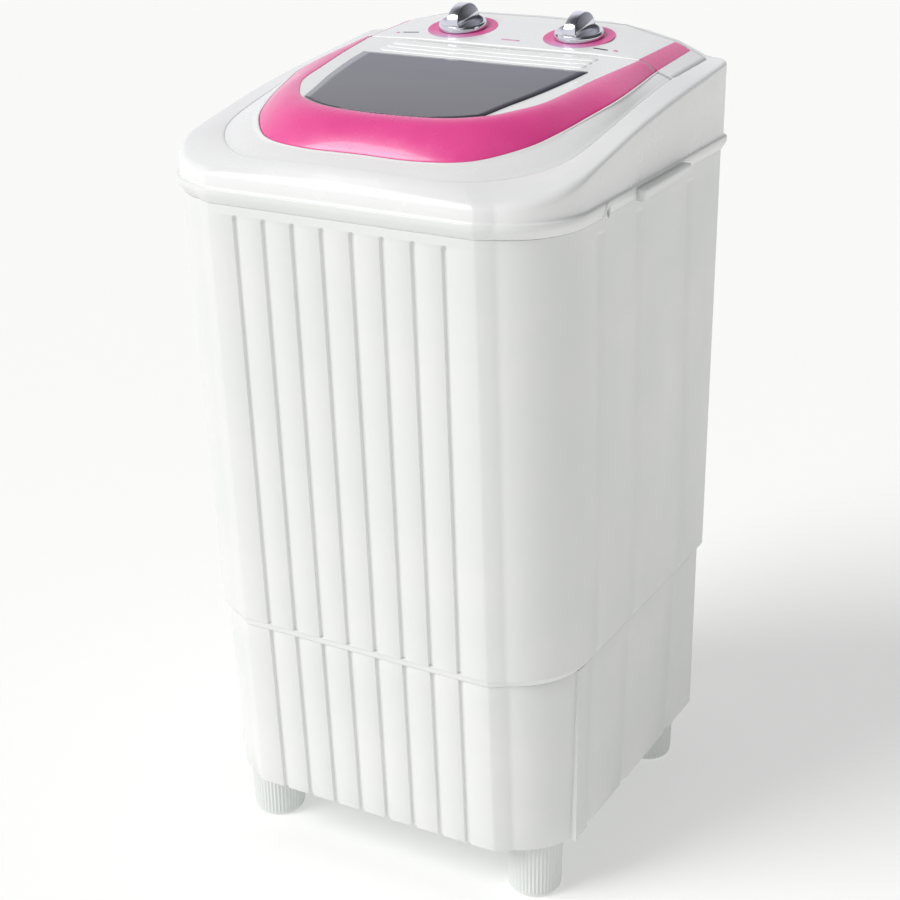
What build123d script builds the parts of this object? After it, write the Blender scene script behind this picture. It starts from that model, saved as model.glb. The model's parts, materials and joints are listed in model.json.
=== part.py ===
from build123d import *
from math import asin, atan, cos, degrees, pi, radians, sin
import os

# Portable single-tub pulsator washing machine, in millimetres.
# Origin on the floor, at the middle of the footprint. +Z is up, -Y is the front, +X is the user's right.

# Heights above the floor
BASE_Z = 67.0            # lower edge of the base skirt
STEP_Z = 264.0           # where the cabinet stands on the base skirt
DECK_Z = 718.0           # top edge of the cabinet wall
COLLAR_WIDE_Z = 726.0
COLLAR_CREST_Z = 731.0
RIDGE_Z = 733.0          # top of the collar
CEILING_Z = 900.0        # above everything, for cutting tools

# Widths and depths
CABINET_HALF_W = 210.0
BASE_HALF_W = 205.0
COLLAR_HALF_W = 215.0
COVER_HALF_W = 212.0
CABINET_FRONT = (-188.0, -209.5)   # front panel at STEP_Z and at DECK_Z
BASE_FRONT = (-174.5, -186.0)      # front panel at BASE_Z and at STEP_Z
COVER_FRONT = -211.5
COLLAR_FRONT = -214.0
CABINET_REAR = 211.0
BASE_REAR = 208.0
COLLAR_REAR = 214.0
COLLAR_STEP = 1.5        # draw-in of the collar at its lower and upper edge
COLLAR_SEAT_W = 9.0      # ledge inside the collar that the cover stands on
DECK_LAND = 1.0          # how far the tub's deck lies inside the collar
COVER_REAR = 211.5
FRONT_CORNER_R = 78.0
REAR_CORNER_R = 15.0
WALL = 3.0
HEM_R = 5.0
STEP_DRIFT = 8.0         # how far the base's side channels lie in front of the cabinet's at the step
FIT_GAP = 0.3
BEHIND_REAR = (190.0, 220.0)        # cutters through the rear wall, from inside to outside

# Raised centre panel and the channels
PANEL_HALF = 141.0
PANEL_BEVEL = 17.0
PANEL_PROUD = 5.0
CHANNEL_PITCH = 31.7
CHANNEL_COUNT = 8
CHANNEL_W = 6.5
CHANNEL_DEPTH = 3.2
CHANNEL_TOP_Z = 711.0
SIDE_CHANNEL_W = 18.0
SIDE_CHANNEL_DEPTH = 2.2
SIDE_CHANNEL_TOP_Z = 706.0
SIDE_CHANNELS_TOP = (-97.0, -9.5, 115.0)
SIDE_CHANNELS_STEP = (-76.0, 14.0, 137.0)
SIDE_CHANNELS_BASE = (-83.0, 6.0, 126.0)
CORNER_GROOVE_Y = -110.5
CORNER_GROOVE_W = 10.0
CORNER_GROOVE_FLOOR_X = 195.5
CORNER_GROOVE_BACK_X = (191.0, 195.2)   # wall behind the groove

# Lid, window and trim. Half outlines run from the rear end to the middle of the front.
LID_PLANE_Z, LID_PLANE_SLOPE = 789.75, 0.1415        # flange of the lid, height at y = 0 and rise
TOP_PLANE_Z, TOP_PLANE_SLOPE = 810.3, 0.087          # flat of the lid around the window
EDGE_PLANE_Z, EDGE_PLANE_SLOPE = 782.0, 0.142        # crease between skirt and top
EDGE_STEP = 0.5                                      # set-back of the top face from the skirt
SEAM_HALF_W, SEAM_FRONT, SEAM_R = 190.0, -195.0, 110.0
SEAM_REAR = 198.0
LID_REAR = 103.6
MOUTH_INSET, MOUTH_REAR = 8.0, 91.6                  # opening in the cover under the lid
TRIM_OUTER = ((176.0, 107.0), (175.0, 20.0), (168.0, -35.0), (158.0, -79.0), (142.0, -116.0),
              (108.0, -154.0), (60.0, -168.0), (0.0, -169.0))
TRIM_INNER = ((154.0, 107.0), (145.5, 46.0), (137.5, -8.0), (130.0, -53.0), (116.0, -83.0),
              (97.0, -106.0), (59.0, -124.0), (0.0, -129.5))
WINDOW_SIDE = ((125.0, 51.0), (121.0, 14.0), (112.0, -33.0), (101.5, -72.0), (90.0, -105.0))
WINDOW_FRONT = ((90.0, -105.0), (52.0, -122.0), (0.0, -127.5))
LID_SKIN = 3.0
TRIM_SKIN = 2.0
WINDOW_T = 3.0
WINDOW_LEDGE = 5.0
LID_CLEAR = 0.8
HINGE_Y = 107.0
HINGE_BAR_R = 7.6
HINGE_Z = TOP_PLANE_Z + TOP_PLANE_SLOPE * HINGE_Y - HINGE_BAR_R
HINGE_PIN_R = 2.5
HINGE_FIT = 0.08
HINGE_EAR_X = 138.0
HINGE_EAR_W = 7.0
HINGE_EAR_R = 4.6

# Control panel
PANEL_FRONT_Y, PANEL_REAR_Y = 115.6, 205.0
PANEL_HINGE_SECTION = ((188.0, 803.0), (172.0, 810.0), (153.0, 820.5), (80.0, 822.5))
PANEL_REAR_SECTION = ((190.0, 808.0), (172.0, 817.0), (154.0, 824.0), (80.0, 835.5))
PANEL_SLOPE = (835.5 - 822.5) / (205.0 - 115.6)
KNOB_X, KNOB_Y = 67.3, 157.0
KNOB_R = 25.5
KNOB_BASE_H = 7.0
GRIP_W, GRIP_H = 15.0, 26.0
DIAL_RING_R, DIAL_RING_HOLE_R = 37.0, 6.5
DIAL_RING_T = 0.5
SHAFT_R, SHAFT_HOLE_R = 3.0, 4.2
SHAFT_L, SHAFT_MIDDLE = 34.0, -8.0
KNOB_CHAMFER = 3.0
TIMER_CASE_R, TIMER_CASE_H, TIMER_CASE_MIDDLE = 23.0, 26.0, -27.0
SELECTOR_CASE = (40.0, 34.0, 20.0)
SELECTOR_CASE_MIDDLE = -24.0
BRACKET = (56.0, 17.0, 3.0)
BRACKET_MIDDLE = -13.0
KNOB_GAP = 0.6

# Tub and drive
TUB_Y = -35.0
TUB_TOP_R, TUB_FLOOR_R = 158.0, 146.0
TUB_FLOOR_Z = 330.0
TUB_WALL = 2.5
DECK_T = 3.0
TUB_SLANT = 20.0                         # size of the slanted corner round the tub's floor
SEAT_BORE_R, DRAIN_BORE_R = 16.0, 14.0
DRAIN_X, DRAIN_Y = -92.0, 49.0
DRAIN_PIPE_Z = 282.0
VALVE_R, PORT_BORE_R = 19.0, 9.5
PLUG_R, PLUG_H = 15.2, 16.0
PLUG_ROD_R, PLUG_ROD_Z = 3.0, 250.0
PIPE_TURN_Y, PIPE_BEND_R = 150.0, 22.0
PULSATOR_R, PULSATOR_Z, PULSATOR_T = 122.0, 336.0, 9.0
VANE_COUNT = 6
VANE = (84.0, 13.0, 18.0)
VANE_MIDDLE_R, VANE_ROUND = 70.0, 6.0
CONE_R, CONE_TOP_R, CONE_H = 46.0, 26.0, 20.0
SCREW_SHANK_R, SCREW_HEAD_R, SCREW_HEAD_H = 3.0, 7.0, 3.5
SHAFT_TOP = 17.0                         # drive shaft above the pulsator's underside
DRIVE_R = 7.0
RUN_FIT = 0.05
CHASSIS_Z, CHASSIS_T = 226.0, 2.0
HOUSING_R = 34.0
BUSH_R, BUSH_H = 15.0, 12.0
BELT_Z = 206.0
PULLEY_R, PULLEY_W = 84.0, 16.0
MOTOR_X, MOTOR_Y = 88.0, 118.0
MOTOR_R, MOTOR_H = 58.0, 78.0
MOTOR_PULLEY_R = 21.0
MOTOR_SHAFT_R = 5.0
BELT_T, BELT_W = 6.0, 9.0
PULLEY_HOLE_R, PULLEY_HOLE_MIDDLE_R, PULLEY_HOLES = 15.0, 46.0, 6
MOTOR_LUGS = 4
LUG_REACH, LUG_BOLT_R = 10.0, 3.2
MOUNT_H = 9.0
CAPACITOR_X, CAPACITOR_Y, CAPACITOR_R, CAPACITOR_H = -40.0, 150.0, 18.0, 66.0
CHASSIS_HALF_W, CHASSIS_FRONT, CHASSIS_REAR = 190.0, -164.0, 198.0
CHASSIS_HOLES = ((0.0, TUB_Y, 17.0), (MOTOR_X, MOTOR_Y, 30.0), (-140.0, 140.0, 26.0))   # x, y and radius

# Feet
FOOT_X, FOOT_FRONT_Y, FOOT_REAR_Y = 160.0, -118.0, 178.0
FOOT_TOP_R, FOOT_BOTTOM_R = 29.5, 27.8
FOOT_FLUTES = 44
FLUTE_DEPTH = 0.8
FOOT_ROUND = 5.0
FOOT_NECK_R = 18.0
PLATE_Z, PLATE_T = 70.0, 4.0
POST_X, POST_R = BASE_HALF_W - 36.0, 9.0
POST_YS = (FOOT_FRONT_Y, FOOT_REAR_Y - 20.0)
POST_RIB_T = 4.0
VENT_XS, VENT_L, VENT_W = (-60.0, 0.0, 60.0), 100.0, 12.0

# Outlets in the rear wall
SPIGOT_X, SPIGOT_Z = -140.0, 112.0
SPIGOT_R, SPIGOT_BORE_R = 15.0, 12.0
GLAND_X, GLAND_Z = 150.0, 112.0
GLAND_R, GLAND_BORE_R = 11.0, 3.6
INLET_X, INLET_Z = -60.0, 770.0
INLET_R, INLET_BORE_R = 10.0, 7.5
INLET_SPOUT_Y = 96.0
STUB_END_Y = 213.5
HATCH_HALF_W, HATCH_Z = 95.0, (96.0, 216.0)
REAR_COVER_HALF_W, REAR_COVER_Z, REAR_COVER_T = 104.0, (88.0, 224.0), 2.0
LOUVRES, LOUVRE_PITCH, LOUVRE_Z, LOUVRE_H, LOUVRE_HALF_W = 5, 16.0, 116.0, 5.0, 60.0

# Lint filter on the tub's rear wall, places measured inwards from the wall
FILTER_HALF_W, FILTER_Z = 36.0, (520.0, 640.0)
FILTER_RIM_X, FILTER_RIM_Z = 7.0, 8.0
FILTER_DEPTH = (26.0, 14.0)
BAG_DEPTH, BAG_GAP = (24.0, 16.0), 0.2
CHANNEL_COVER_HALF_W, CHANNEL_COVER_Z, CHANNEL_COVER_OUT = 42.0, (352.0, 660.0), 13.5

# Carrying grips
SIDE_GRIP_Y = (-30.0, 85.0)
SIDE_GRIP_Z = (719.0, 731.0)
SIDE_GRIP_OUT = 224.0
SIDE_GRIP_ROUND = 3.0

# Screws through the collar
COLLAR_SCREW_Y, COLLAR_SCREW_Z = -94.0, 724.5
COLLAR_SCREW_R, COLLAR_POCKET_R = 3.8, 4.6
COLLAR_POCKET_DEEP, COLLAR_SCREW_SUNK = 4.0, 1.2


def rounded_plan(z, half_w, front_y, rear_y, front_r=FRONT_CORNER_R, rear_r=REAR_CORNER_R):
    """Plan section with big front corners and small rear ones."""
    plan = Pos(0, (front_y + rear_y) / 2) * Rectangle(2 * half_w, rear_y - front_y)
    plan = fillet(plan.vertices().sort_by(Axis.Y)[:2], front_r)
    plan = fillet(plan.vertices().sort_by(Axis.Y)[-2:], rear_r)
    return Pos(0, 0, z) * plan


def centre_panel_plan(z, panel_y):
    """Plan section of the raised centre panel with its two bevels."""
    foot_y = panel_y + 2 * PANEL_PROUD
    inside_y = panel_y + 5 * PANEL_PROUD
    return Pos(0, 0, z) * Polygon(
        (-PANEL_HALF - PANEL_BEVEL, foot_y), (-PANEL_HALF, panel_y), (PANEL_HALF, panel_y),
        (PANEL_HALF + PANEL_BEVEL, foot_y), (PANEL_HALF, inside_y), (-PANEL_HALF, inside_y), align=None)


def housing_block(z_low, z_high, half_low, half_high, panel_low, panel_high, rear_low, rear_high):
    """Solid between two plan sections, with the centre panel standing proud of the corner columns."""
    core = loft([rounded_plan(z_low, half_low, panel_low + PANEL_PROUD, rear_low),
                 rounded_plan(z_high, half_high, panel_high + PANEL_PROUD, rear_high)], ruled=True)
    panel = loft([centre_panel_plan(z_low, panel_low), centre_panel_plan(z_high, panel_high)], ruled=True)
    return core + panel


def cavity_block(z_low, z_high, half_w, front_low, front_high, rear):
    """Inside of a housing, without the centre panel."""
    inner_r = FRONT_CORNER_R - WALL
    return loft([rounded_plan(z_low, half_w, front_low, rear, inner_r, REAR_CORNER_R - WALL),
                 rounded_plan(z_high, half_w, front_high, rear, inner_r, REAR_CORNER_R - WALL)], ruled=True)


def leaning_channel(x, low, high, width, depth, round_top):
    """Cutter for one channel in the leaning front panel, from (y, z) low to (y, z) high."""
    lean = atan((low[0] - high[0]) / (high[1] - low[1]))
    length = (high[1] - low[1]) / cos(lean)
    face = Plane(origin=(x, low[0], low[1]), x_dir=(1, 0, 0), z_dir=(0, -cos(lean), -sin(lean)))
    sketch = Pos(0, length / 2) * Rectangle(width, length)
    if round_top:
        sketch += Pos(0, length) * Circle(width / 2)
    return extrude(face * sketch, amount=depth, both=True)


def front_channels(low, high, round_top):
    """All the front channels side by side."""
    cutters = Part()
    for index in range(CHANNEL_COUNT):
        x = (index - (CHANNEL_COUNT - 1) / 2) * CHANNEL_PITCH
        cutters += leaning_channel(x, low, high, CHANNEL_W, CHANNEL_DEPTH, round_top)
    return cutters


def side_channel(side, half_w, low, high, depth=SIDE_CHANNEL_DEPTH, width=SIDE_CHANNEL_W):
    """Cutter for one channel in a side wall, between two (y, z) points of its middle line."""
    face = Plane(origin=(side * half_w, 0, 0), x_dir=(0, 1, 0), z_dir=(1, 0, 0))
    (y_low, z_low), (y_high, z_high) = low, high
    half = width / 2
    outline = Polygon((y_low - half, z_low), (y_low + half, z_low), (y_high + half, z_high),
                      (y_high - half, z_high), align=None)
    return extrude(face * outline, amount=depth, both=True)


def cylinder_at(x, y, z, radius, height):
    """Upright cylinder standing on z."""
    return Pos(x, y, z + height / 2) * Cylinder(radius, height)


def tube_at(x, y, z, radius, bore, height):
    """Upright tube standing on z."""
    return cylinder_at(x, y, z, radius, height) - cylinder_at(x, y, z, bore, height)


def rod_y(x, y_low, y_high, z, radius):
    """Cylinder lying along Y."""
    return Pos(x, (y_low + y_high) / 2, z) * Rot(90, 0, 0) * Cylinder(radius, y_high - y_low)


def rod_x(x_low, x_high, y, z, radius):
    """Cylinder lying along X."""
    return Pos((x_low + x_high) / 2, y, z) * Rot(0, 90, 0) * Cylinder(radius, x_high - x_low)


def block(x_low, x_high, y_low, y_high, z_low, z_high):
    """Box between two corners."""
    return Pos((x_low + x_high) / 2, (y_low + y_high) / 2, (z_low + z_high) / 2) * Box(
        x_high - x_low, y_high - y_low, z_high - z_low)


def above_plane(height, slope):
    """Everything above a plane that rises towards the rear, as a cutting tool."""
    reach = 300.0
    side = Plane(origin=(-reach, 0, 0), x_dir=(0, 1, 0), z_dir=(1, 0, 0))
    outline = Polygon((-reach, height - slope * reach), (reach, height + slope * reach),
                      (reach, CEILING_Z), (-reach, CEILING_Z), align=None)
    return extrude(side * outline, amount=2 * reach)


def tilted_plane(height, slope):
    """Sketch plane that rises towards the rear."""
    tilt = atan(slope)
    return Plane(origin=(0, 0, height), x_dir=(1, 0, 0), z_dir=(0, -sin(tilt), cos(tilt)))


def on_slope(points, slope, inset=0.0):
    """Plan points as sketch points of a sloping plane, drawn in by an inset towards the middle."""
    stretch = 1 / cos(atan(slope))
    moved = []
    for x, y in points:
        length = (x * x + y * y) ** 0.5
        factor = 1 - inset / length
        moved.append((x * factor if x else 0.0, (y * factor if y < 0 else y) * stretch))
    return moved


def arch_face(height, slope, half_points, inset=0.0):
    """U-shaped outline on a sloping plane: a smooth curve round the front and a straight rear edge."""
    right = on_slope(half_points, slope, inset)
    left = [(-x, y) for x, y in right[:-1]]
    points = right + left[::-1]
    curve = Spline(*points)
    closing = Line(points[-1], points[0])
    return tilted_plane(height, slope) * make_face(curve + closing)


def lid_plan(inset, rear_y=LID_REAR):
    """Plan of the lid or of its opening, drawn in from the seam."""
    plan = Pos(0, (SEAM_FRONT + inset + rear_y) / 2) * Rectangle(
        2 * (SEAM_HALF_W - inset), rear_y - SEAM_FRONT - inset)
    return fillet(plan.vertices().sort_by(Axis.Y)[:2], SEAM_R - inset)


def window_plan(inset):
    """Plan of the window: leaning sides, curved front, straight rear edge."""
    side = [(x - inset, y) for x, y in WINDOW_SIDE]
    front = [(side[-1][0], side[-1][1] + inset)] + [(x, y + inset) for x, y in WINDOW_FRONT[1:]]
    side[-1] = front[0]
    side[0] = (side[0][0], side[0][1] - inset)
    mirror_side = [(-x, y) for x, y in side]
    front_curve = front + [(-x, y) for x, y in front[:-1]][::-1]
    edges = (Spline(*side) + Spline(*front_curve) + Spline(*mirror_side[::-1])
             + Line(mirror_side[0], side[0]))
    return make_face(edges)


def make_cabinet():
    """Tall outer shell with channelled front and sides."""
    low, high = CABINET_FRONT
    rise = (high - low) / (DECK_Z - STEP_Z)
    hem_z, hem_y = STEP_Z + HEM_R, low + rise * HEM_R
    shell = housing_block(hem_z, DECK_Z, CABINET_HALF_W, CABINET_HALF_W, hem_y, high, CABINET_REAR, CABINET_REAR)
    shell += housing_block(STEP_Z, hem_z, CABINET_HALF_W - HEM_R, CABINET_HALF_W, low + HEM_R, hem_y,
                           CABINET_REAR - HEM_R, CABINET_REAR)
    inner_w = CABINET_HALF_W - WALL
    lip_z = STEP_Z + 2 * HEM_R
    inset = PANEL_PROUD + WALL
    shell -= cavity_block(lip_z, DECK_Z, inner_w, low + rise * 2 * HEM_R + inset, high + inset,
                          CABINET_REAR - WALL)
    shell -= cavity_block(STEP_Z, lip_z, inner_w - HEM_R + FIT_GAP, low + inset + HEM_R, low + inset + HEM_R,
                          CABINET_REAR - WALL - HEM_R)
    foot_y = low - rise * HEM_R
    top_y = low + rise * (CHANNEL_TOP_Z - CHANNEL_W - STEP_Z)
    shell -= front_channels((foot_y, STEP_Z - HEM_R), (top_y, CHANNEL_TOP_Z - CHANNEL_W), True)
    for side in (-1, 1):
        for y_top, y_step in zip(SIDE_CHANNELS_TOP, SIDE_CHANNELS_STEP):
            shell -= side_channel(side, CABINET_HALF_W, (y_step, STEP_Z - 1), (y_top, SIDE_CHANNEL_TOP_Z))
    return shell


def make_base_skirt():
    """Lower shell on the feet, with a tongue that goes up inside the cabinet."""
    low, high = BASE_FRONT
    shell = housing_block(BASE_Z, STEP_Z, BASE_HALF_W, BASE_HALF_W, low, high, BASE_REAR, BASE_REAR)
    inset = PANEL_PROUD + WALL
    cabinet_inset = CABINET_FRONT[0] + inset + HEM_R + FIT_GAP
    tongue_half = CABINET_HALF_W - WALL - HEM_R
    tongue_rear = CABINET_REAR - WALL - HEM_R - FIT_GAP
    shell += cavity_block(STEP_Z - HEM_R, STEP_Z + HEM_R, tongue_half, cabinet_inset, cabinet_inset, tongue_rear)
    shell -= cavity_block(BASE_Z, STEP_Z + HEM_R, tongue_half - WALL, low + inset, cabinet_inset + WALL,
                          tongue_rear - WALL)
    rise = (high - low) / (STEP_Z - BASE_Z)
    below = BASE_Z - HEM_R
    shell -= front_channels((low - rise * HEM_R, below), (high, STEP_Z), False)
    for side in (-1, 1):
        for y_step, y_base in zip(SIDE_CHANNELS_STEP, SIDE_CHANNELS_BASE):
            shell -= side_channel(side, BASE_HALF_W, (y_base, below), (y_step - STEP_DRIFT, STEP_Z))
        for y in POST_YS:
            shell += cylinder_at(side * POST_X, y, PLATE_Z + PLATE_T, POST_R, CHASSIS_Z - PLATE_Z - PLATE_T)
            shell += block(*sorted((side * POST_X, side * (BASE_HALF_W - 2 * WALL + 1))), y - POST_RIB_T / 2,
                           y + POST_RIB_T / 2, PLATE_Z + PLATE_T, CHASSIS_Z - 2 * POST_R)
        shell -= block(*sorted((side * CORNER_GROOVE_FLOOR_X, side * COLLAR_HALF_W)),
                       CORNER_GROOVE_Y - CORNER_GROOVE_W / 2, CORNER_GROOVE_Y + CORNER_GROOVE_W / 2, below, STEP_Z)
        shell += block(*sorted(side * x for x in CORNER_GROOVE_BACK_X),
                       CORNER_GROOVE_Y - CORNER_GROOVE_W, CORNER_GROOVE_Y + CORNER_GROOVE_W, BASE_Z, STEP_Z)
    shell -= rod_y(SPIGOT_X, *BEHIND_REAR, SPIGOT_Z, SPIGOT_R + 8)
    shell -= rod_y(GLAND_X, *BEHIND_REAR, GLAND_Z, GLAND_R - 2)
    shell -= block(-HATCH_HALF_W, HATCH_HALF_W, *BEHIND_REAR, *HATCH_Z)
    return shell


def make_rim_collar():
    """Band round the top of the cabinet that the cover stands on."""
    front = CABINET_FRONT[1] + PANEL_PROUD
    grow = COLLAR_HALF_W - CABINET_HALF_W - COLLAR_STEP
    low = housing_block(DECK_Z, COLLAR_WIDE_Z, COLLAR_HALF_W - grow, COLLAR_HALF_W, COLLAR_FRONT + grow,
                        COLLAR_FRONT, COLLAR_REAR - grow + COLLAR_STEP, COLLAR_REAR)
    middle = housing_block(COLLAR_WIDE_Z, COLLAR_CREST_Z, COLLAR_HALF_W, COLLAR_HALF_W, COLLAR_FRONT,
                           COLLAR_FRONT, COLLAR_REAR, COLLAR_REAR)
    crest = housing_block(COLLAR_CREST_Z, RIDGE_Z, COLLAR_HALF_W, COLLAR_HALF_W - COLLAR_STEP, COLLAR_FRONT,
                          COLLAR_FRONT + COLLAR_STEP, COLLAR_REAR, COLLAR_REAR - COLLAR_STEP)
    ring = low + middle + crest
    deck_top = DECK_Z + DECK_T + FIT_GAP
    ring -= cavity_block(DECK_Z, deck_top, CABINET_HALF_W - DECK_LAND, front + DECK_LAND, front + DECK_LAND,
                         CABINET_REAR - DECK_LAND)
    ring -= cavity_block(deck_top, RIDGE_Z, CABINET_HALF_W - COLLAR_SEAT_W, front + COLLAR_SEAT_W,
                         front + COLLAR_SEAT_W, CABINET_REAR - COLLAR_SEAT_W)
    for side in (-1, 1):
        pocket = sorted((side * (COLLAR_HALF_W - COLLAR_POCKET_DEEP), side * (COLLAR_HALF_W + COLLAR_POCKET_DEEP)))
        ring -= rod_x(*pocket, COLLAR_SCREW_Y, COLLAR_SCREW_Z, COLLAR_POCKET_R)
    return ring


def make_side_grip(side):
    """Moulded ledge under the ridge that the hand lifts by, hollow below."""
    y_low, y_high = SIDE_GRIP_Y
    z_low, z_high = SIDE_GRIP_Z
    near = COLLAR_HALF_W
    ledge = block(near, SIDE_GRIP_OUT, y_low, y_high, z_low, z_high)
    ledge = fillet(ledge.edges().filter_by(Axis.Z).sort_by(Axis.X)[-2:], SIDE_GRIP_ROUND)
    ledge -= block(near, SIDE_GRIP_OUT - WALL, y_low + WALL, y_high - WALL, z_low - 1, z_high - WALL)
    if side < 0:
        ledge = ledge.mirror(Plane.YZ)
    return ledge


def panel_section(y, points, inset=0.0):
    """Cross-section of the control panel at one depth."""
    right = [(x - inset * 0.8, z - inset) for x, z in points]
    floor_z = LID_PLANE_Z + LID_PLANE_SLOPE * y - 12 - inset
    outline = ([(-right[0][0], floor_z)] + [(-x, z) for x, z in right] + right[::-1]
               + [(right[0][0], floor_z)])
    face = Plane(origin=(0, y, 0), x_dir=(1, 0, 0), z_dir=(0, -1, 0))
    return face * Polygon(*outline, align=None)


def knob_frame(x):
    """Place on the panel's surface with Z along the knob's axis."""
    height = PANEL_HINGE_SECTION[-1][1] + PANEL_SLOPE * (KNOB_Y - PANEL_FRONT_Y)
    return Pos(x, KNOB_Y, height) * Rot(degrees(atan(PANEL_SLOPE)), 0, 0)


def panel_trim(side):
    """Coloured strip let into the shoulder of the control panel."""
    sections = []
    for y, points in ((PANEL_FRONT_Y, PANEL_HINGE_SECTION), (PANEL_REAR_Y - 2, PANEL_REAR_SECTION)):
        (x_out, z_out), (x_in, z_in) = points[1], points[2]
        drop = TRIM_SKIN
        face = Plane(origin=(0, y, 0), x_dir=(1, 0, 0), z_dir=(0, -1, 0))
        sections.append(face * Polygon((side * x_out, z_out), (side * x_in, z_in),
                                       (side * (x_in - 1), z_in - drop), (side * (x_out - 1), z_out - drop),
                                       align=None))
    return loft(sections, ruled=True)


def make_top_cover(trims):
    """Wedge-shaped cover with the lid opening, the control panel and the hinge ears."""
    slope = EDGE_PLANE_SLOPE
    body = housing_block(RIDGE_Z, CEILING_Z, COVER_HALF_W, COVER_HALF_W, COVER_FRONT, COVER_FRONT,
                         COVER_REAR, COVER_REAR)
    body -= above_plane(EDGE_PLANE_Z, slope)
    stretch = 1 / cos(atan(slope))
    low_plane = tilted_plane(EDGE_PLANE_Z, slope)
    high_plane = tilted_plane(LID_PLANE_Z, LID_PLANE_SLOPE)
    low_plan = rounded_plan(0, COVER_HALF_W - EDGE_STEP, (COVER_FRONT + PANEL_PROUD + EDGE_STEP) * stretch,
                            (COVER_REAR - EDGE_STEP) * stretch)
    high_plan = rounded_plan(0, SEAM_HALF_W + 1, (SEAM_FRONT - 1) * stretch, SEAM_REAR * stretch, SEAM_R,
                             REAR_CORNER_R)
    body += loft([low_plane * low_plan, high_plane * high_plan], ruled=True)
    body += loft([panel_section(PANEL_FRONT_Y, PANEL_HINGE_SECTION),
                  panel_section(PANEL_REAR_Y, PANEL_REAR_SECTION)], ruled=True)
    inner_r = FRONT_CORNER_R - 2 * WALL
    cavity = extrude(rounded_plan(RIDGE_Z, COVER_HALF_W - 2 * WALL - 1, COVER_FRONT + PANEL_PROUD + 2 * WALL,
                                  COVER_REAR - 2 * WALL, inner_r, REAR_CORNER_R - WALL), CEILING_Z - RIDGE_Z)
    cavity -= above_plane(LID_PLANE_Z - 2 * LID_SKIN - LID_CLEAR, LID_PLANE_SLOPE)
    body -= cavity
    body -= loft([panel_section(PANEL_FRONT_Y + WALL, PANEL_HINGE_SECTION, WALL),
                  panel_section(PANEL_REAR_Y - WALL, PANEL_REAR_SECTION, WALL)], ruled=True)
    seat = Pos(0, 0, RIDGE_Z) * lid_plan(-LID_CLEAR, PANEL_FRONT_Y)
    body -= extrude(seat, CEILING_Z - RIDGE_Z) & above_plane(LID_PLANE_Z - LID_SKIN - LID_CLEAR, LID_PLANE_SLOPE)
    mouth = Pos(0, 0, RIDGE_Z - 1) * lid_plan(MOUTH_INSET, MOUTH_REAR)
    body -= extrude(mouth, CEILING_Z - RIDGE_Z)
    shelf_z = HINGE_Z - 20
    body -= block(-SEAM_HALF_W, SEAM_HALF_W, MOUTH_REAR, PANEL_FRONT_Y, shelf_z, CEILING_Z)
    shelf_end = COVER_HALF_W - 2 * WALL
    body += block(-shelf_end, shelf_end, MOUTH_REAR, PANEL_FRONT_Y + WALL, shelf_z - 2 * WALL, shelf_z)
    body += block(-SEAM_HALF_W, SEAM_HALF_W, PANEL_FRONT_Y, PANEL_FRONT_Y + WALL, shelf_z, shelf_z + 8)
    for side in (-1, 1):
        body += hinge_ear(side)
    for x in (-KNOB_X, KNOB_X):
        body -= knob_frame(x) * Cylinder(SHAFT_HOLE_R, 30)
    body -= trims
    body -= rod_y(INLET_X, COVER_REAR - 20, COVER_REAR + 5, INLET_Z, INLET_R)
    return body


def hinge_ear(side):
    """Ear that rises from the ledge behind the lid opening and holds one hinge pin."""
    low, high = sorted((side * HINGE_EAR_X, side * (HINGE_EAR_X + HINGE_EAR_W)))
    ear = block(low, high, HINGE_Y - HINGE_EAR_R, HINGE_Y + HINGE_EAR_R, HINGE_Z - 22, HINGE_Z)
    ear += rod_x(low, high, HINGE_Y, HINGE_Z, HINGE_EAR_R)
    return ear - rod_x(low, high, HINGE_Y, HINGE_Z, HINGE_PIN_R + HINGE_FIT)


def hinge_pin(side):
    """Pin pressed into the lid's rear bar that turns in the cover's ear."""
    low, high = sorted((side * (HINGE_EAR_X - 12), side * (HINGE_EAR_X + HINGE_EAR_W + 3)))
    return rod_x(low, high, HINGE_Y, HINGE_Z, HINGE_PIN_R)


def shoulder(inset, height_drop=0.0):
    """Solid between the trim's outer outline on the flange and its inner outline on the flat."""
    return loft([arch_face(LID_PLANE_Z - 0.3 - height_drop, LID_PLANE_SLOPE, TRIM_OUTER, inset),
                 arch_face(TOP_PLANE_Z - height_drop, TOP_PLANE_SLOPE, TRIM_INNER, inset)], ruled=True)


def lid_back_limit():
    """Everything behind the lid's hinge line."""
    return block(-250, 250, HINGE_Y, 300, 700, CEILING_Z)


def make_lid_trim():
    """Coloured U-shaped band on the lid's shoulder."""
    band = shoulder(0.0) - shoulder(TRIM_SKIN)
    band -= above_plane(TOP_PLANE_Z - 0.01, TOP_PLANE_SLOPE)
    band &= above_plane(LID_PLANE_Z, LID_PLANE_SLOPE)
    return band - lid_back_limit()


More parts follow.
